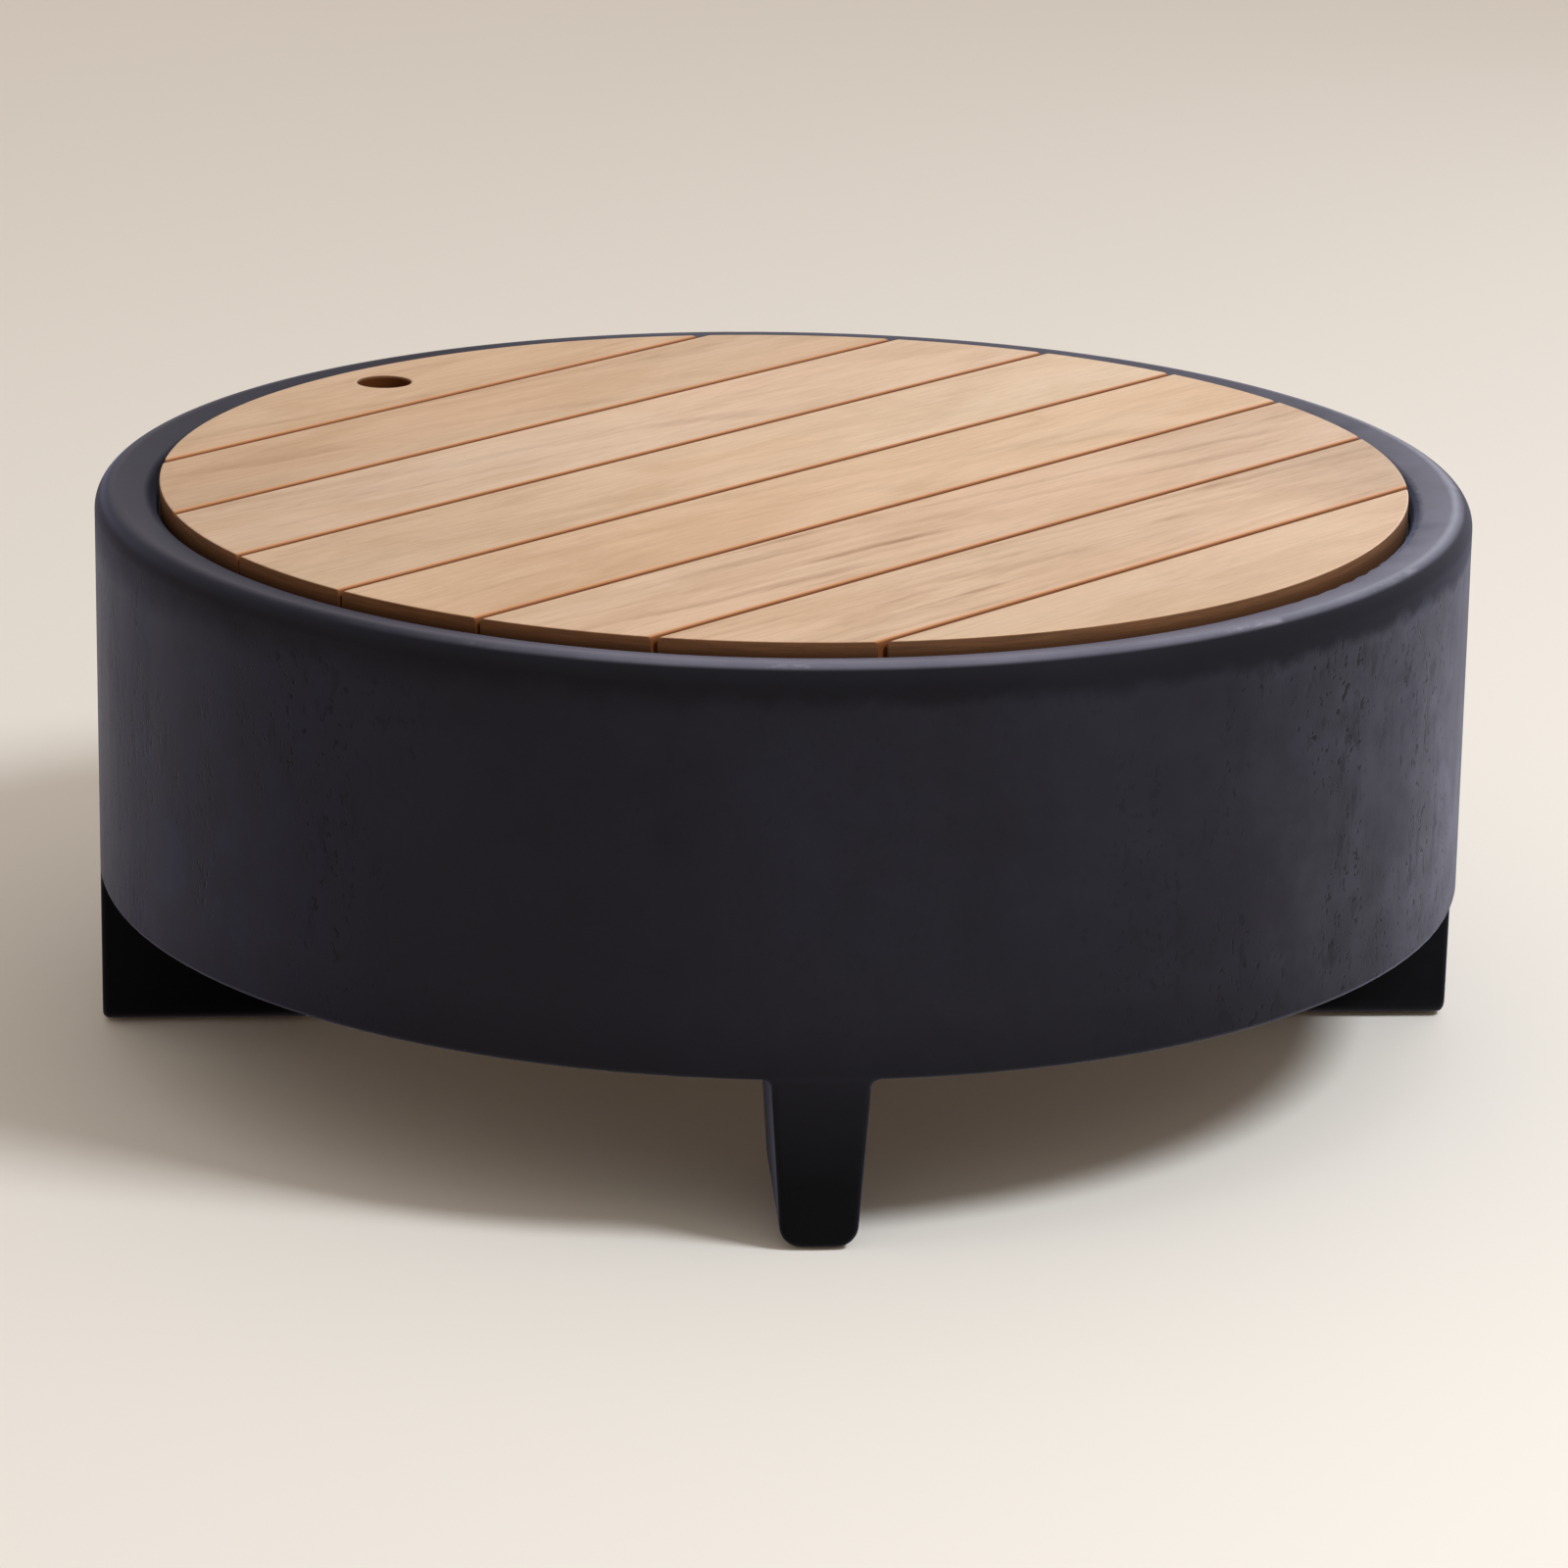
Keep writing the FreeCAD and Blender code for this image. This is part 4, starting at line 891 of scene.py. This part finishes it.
def buildRockHeap():
    picker = random.Random(rockHeap["seed"])
    shapes = [chunkShape(n) for n in range(rockHeap["shapes"])]
    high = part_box("lava_rock_bed")[1]
    heap = bmesh.new()
    for n in range(rockHeap["chunks"]):
        piece = shapes[n % len(shapes)].copy()
        piece.transform(throwChunk(picker, high.x - rockHeap["wall"], high.z))
        spare = bpy.data.meshes.new("chunk")
        piece.to_mesh(spare)
        piece.free()
        heap.from_mesh(spare)
        bpy.data.meshes.remove(spare)
    mesh = bpy.data.meshes.new("lavaRock")
    heap.to_mesh(mesh)
    heap.free()
    mesh.shade_smooth()
    return addObject("lavaRock", mesh)


lavaLook = {
    "dark": (34, 31, 30),
    "pale": (74, 68, 65),
    "tones": (45.0, 2.0),
    "rust": (86, 52, 40),
    "rusty": (16.0, 2.0), "rustEdge": (0.5, 0.68), "rustShare": 0.6,
    # painted shade inside the gas holes
    "hole": (14, 12, 12),
    "holeScale": 420.0, "holeSize": 0.9, "holeShare": 0.8, "holeDepth": 0.9,
    "kept": (0.35, 2.0), "keptEdge": (0.5, 0.75),    # only some cells hold a gas hole
    "holeSoft": (0.0, 0.12),
    "coarse": (260.0, 4.0, 0.7),
    "rough": 0.92,
    "bump": (0.9, 0.003),
}


def makeLava():
    material, tree, shader, place = newMaterial("lavaStone")
    look = lavaLook
    tone = {key: rgb(*look[key]) for key in ("dark", "pale", "rust", "hole")}
    color = blend(tree, cloud(tree, place, *look["tones"]), tone["dark"], tone["pale"])
    rusty = remap(tree, cloud(tree, place, *look["rusty"]), *look["rustEdge"])
    color = blend(tree, times(tree, rusty, look["rustShare"]), color, tone["rust"])
    fine = mapped(tree, place, [look["holeScale"]] * 3)
    spots = cells(tree, fine)
    edge = times(tree, remap(tree, cloud(tree, fine, *look["kept"]), *look["keptEdge"]), look["holeSize"])
    holes = times(tree, calc(tree, "LESS_THAN", spots, edge),
                  remap(tree, calc(tree, "SUBTRACT", edge, spots), *look["holeSoft"]))
    # painted shade: the gas holes darkened inside
    color = blend(tree, times(tree, holes, look["holeShare"]), color, tone["hole"])
    feed(tree, shader.inputs["Base Color"], color)
    shader.inputs["Roughness"].default_value = look["rough"]
    coarse = cloud(tree, place, *look["coarse"])
    height = calc(tree, "SUBTRACT", coarse, times(tree, holes, look["holeDepth"]))
    bumpInto(tree, shader, height, *look["bump"])
    return material


lavaRock = buildRockHeap()
lavaRock.data.materials.append(makeLava())
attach(lavaRock, "table")
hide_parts("lava_rock_bed")
print("lava rock heaped:", len(lavaRock.data.polygons), "faces")


# floor, light and camera
stageLook = {
    "floor": (231, 229, 225),
    "floorRough": 0.9,
    "floorSpan": 24.0,
    "fill": (255, 244, 232),
    "fillStrength": 0.585,
    "horizon": (255, 208, 160),  # warm light from low down, into the shadow under the drum
    "horizonStrength": 1.2,
    "horizonRise": (0.05, 0.5),
    "backdrop": (212, 208, 204),
    "aimLevel": 0.3,             # where the lamps point, over the middle
}
# a lamp's place is right of, behind and over the middle, as the camera sees it
lamps = {
    "key": {
        "place": (3.75, -1.98, 5.07), "size": 1.76, "watts": 280.0, "tint": (0.95, 0.98, 1.0),
        "glossOnly": False,
    },
    "card": {    # a white card beside the set, seen only in gloss
        "place": (2.4, 4.1, 2.0), "size": 3.0, "watts": 120.0, "tint": (0.84, 0.89, 1.0),
        "glossOnly": True,
    },
}
shot = {
    "turn": -48.62,          # the photo's view, in degrees about Z
    "distance": 5.7069,
    "elevation": 14.19,
    "pitch": 16.895,
    "yaw": 0.043,
    "roll": 0.899,
    "lens": 147.2,
    "sensor": 36.0,
}


def fromCamera(right, back, height):
    turn = math.radians(shot["turn"])
    x = right * math.cos(turn) - back * math.sin(turn)
    y = right * math.sin(turn) + back * math.cos(turn)
    return Vector((x, y, height))


def buildFloor():
    mesh = bmesh.new()
    bmesh.ops.create_grid(mesh, x_segments=1, y_segments=1, size=stageLook["floorSpan"])
    data = bpy.data.meshes.new("floor")
    mesh.to_mesh(data)
    mesh.free()
    floor = addObject("floor", data)
    material, tree, shader, place = newMaterial("palePlaster")
    shader.inputs["Base Color"].default_value = rgb(*stageLook["floor"])
    shader.inputs["Roughness"].default_value = stageLook["floorRough"]
    data.materials.append(material)


def buildSky():
    world = bpy.data.worlds.new("studio")
    bpy.context.scene.world = world
    world.use_nodes = True
    tree = world.node_tree
    fill = tree.nodes["Background"]
    rise = axes(tree, tree.nodes.new("ShaderNodeTexCoord").outputs["Generated"])["Z"]
    low = remap(tree, rise, *stageLook["horizonRise"], 1.0, 0.0, smooth=True)
    color = blend(tree, low, rgb(*stageLook["fill"]), rgb(*stageLook["horizon"]))
    strength = fade(tree, low, stageLook["fillStrength"], stageLook["horizonStrength"])
    feed(tree, fill.inputs["Color"], color)
    feed(tree, fill.inputs["Strength"], strength)
    backdrop = tree.nodes.new("ShaderNodeBackground")    # what camera and gloss see
    backdrop.inputs["Color"].default_value = rgb(*stageLook["backdrop"])
    rays = tree.nodes.new("ShaderNodeLightPath").outputs
    shiny = calc(tree, "MAXIMUM", rays["Is Glossy Ray"], rays["Is Transmission Ray"])
    pick = tree.nodes.new("ShaderNodeMixShader")
    feed(tree, pick.inputs[0], calc(tree, "MAXIMUM", rays["Is Camera Ray"], shiny))
    feed(tree, pick.inputs[1], fill.outputs[0])
    feed(tree, pick.inputs[2], backdrop.outputs[0])
    feed(tree, tree.nodes["World Output"].inputs["Surface"], pick.outputs[0])


def addLamp(name):
    settings = lamps[name]
    lamp = bpy.data.lights.new(name, "AREA")
    lamp.shape = "DISK"
    lamp.size = settings["size"]
    lamp.energy = settings["watts"]
    lamp.color = settings["tint"]
    piece = addObject(name, lamp)
    piece.visible_camera = False
    piece.visible_diffuse = not settings["glossOnly"]
    piece.location = fromCamera(*settings["place"])
    aim = Vector((0, 0, stageLook["aimLevel"])) - piece.location
    piece.rotation_euler = aim.to_track_quat("-Z", "Y").to_euler()


def buildCamera():
    camera = bpy.data.cameras.new("shot")
    camera.lens = shot["lens"]
    camera.sensor_width = shot["sensor"]
    camera.sensor_fit = "HORIZONTAL"
    piece = addObject("shot", camera)
    rise = math.radians(shot["elevation"])
    eye = fromCamera(0.0, -shot["distance"] * math.cos(rise), rimTop + shot["distance"] * math.sin(rise))
    pitch, yaw, roll = (math.radians(shot[key]) for key in ("pitch", "yaw", "roll"))
    flat = fromCamera(math.sin(yaw), math.cos(yaw), 0.0)
    ahead = flat * math.cos(pitch) - Vector((0, 0, math.sin(pitch)))
    right = ahead.cross(Vector((0, 0, 1))).normalized()
    top = right.cross(ahead)
    tilted = right * math.cos(roll) + top * math.sin(roll)
    upright = top * math.cos(roll) - right * math.sin(roll)
    piece.matrix_world = Matrix((
        (tilted.x, upright.x, -ahead.x, eye.x),
        (tilted.y, upright.y, -ahead.y, eye.y),
        (tilted.z, upright.z, -ahead.z, eye.z),
        (0, 0, 0, 1),
    ))
    bpy.context.scene.camera = piece


buildFloor()
buildSky()
for name in lamps:
    addLamp(name)
buildCamera()
bpy.context.scene.view_settings.view_transform = "Standard"
print("stage, light and camera set")
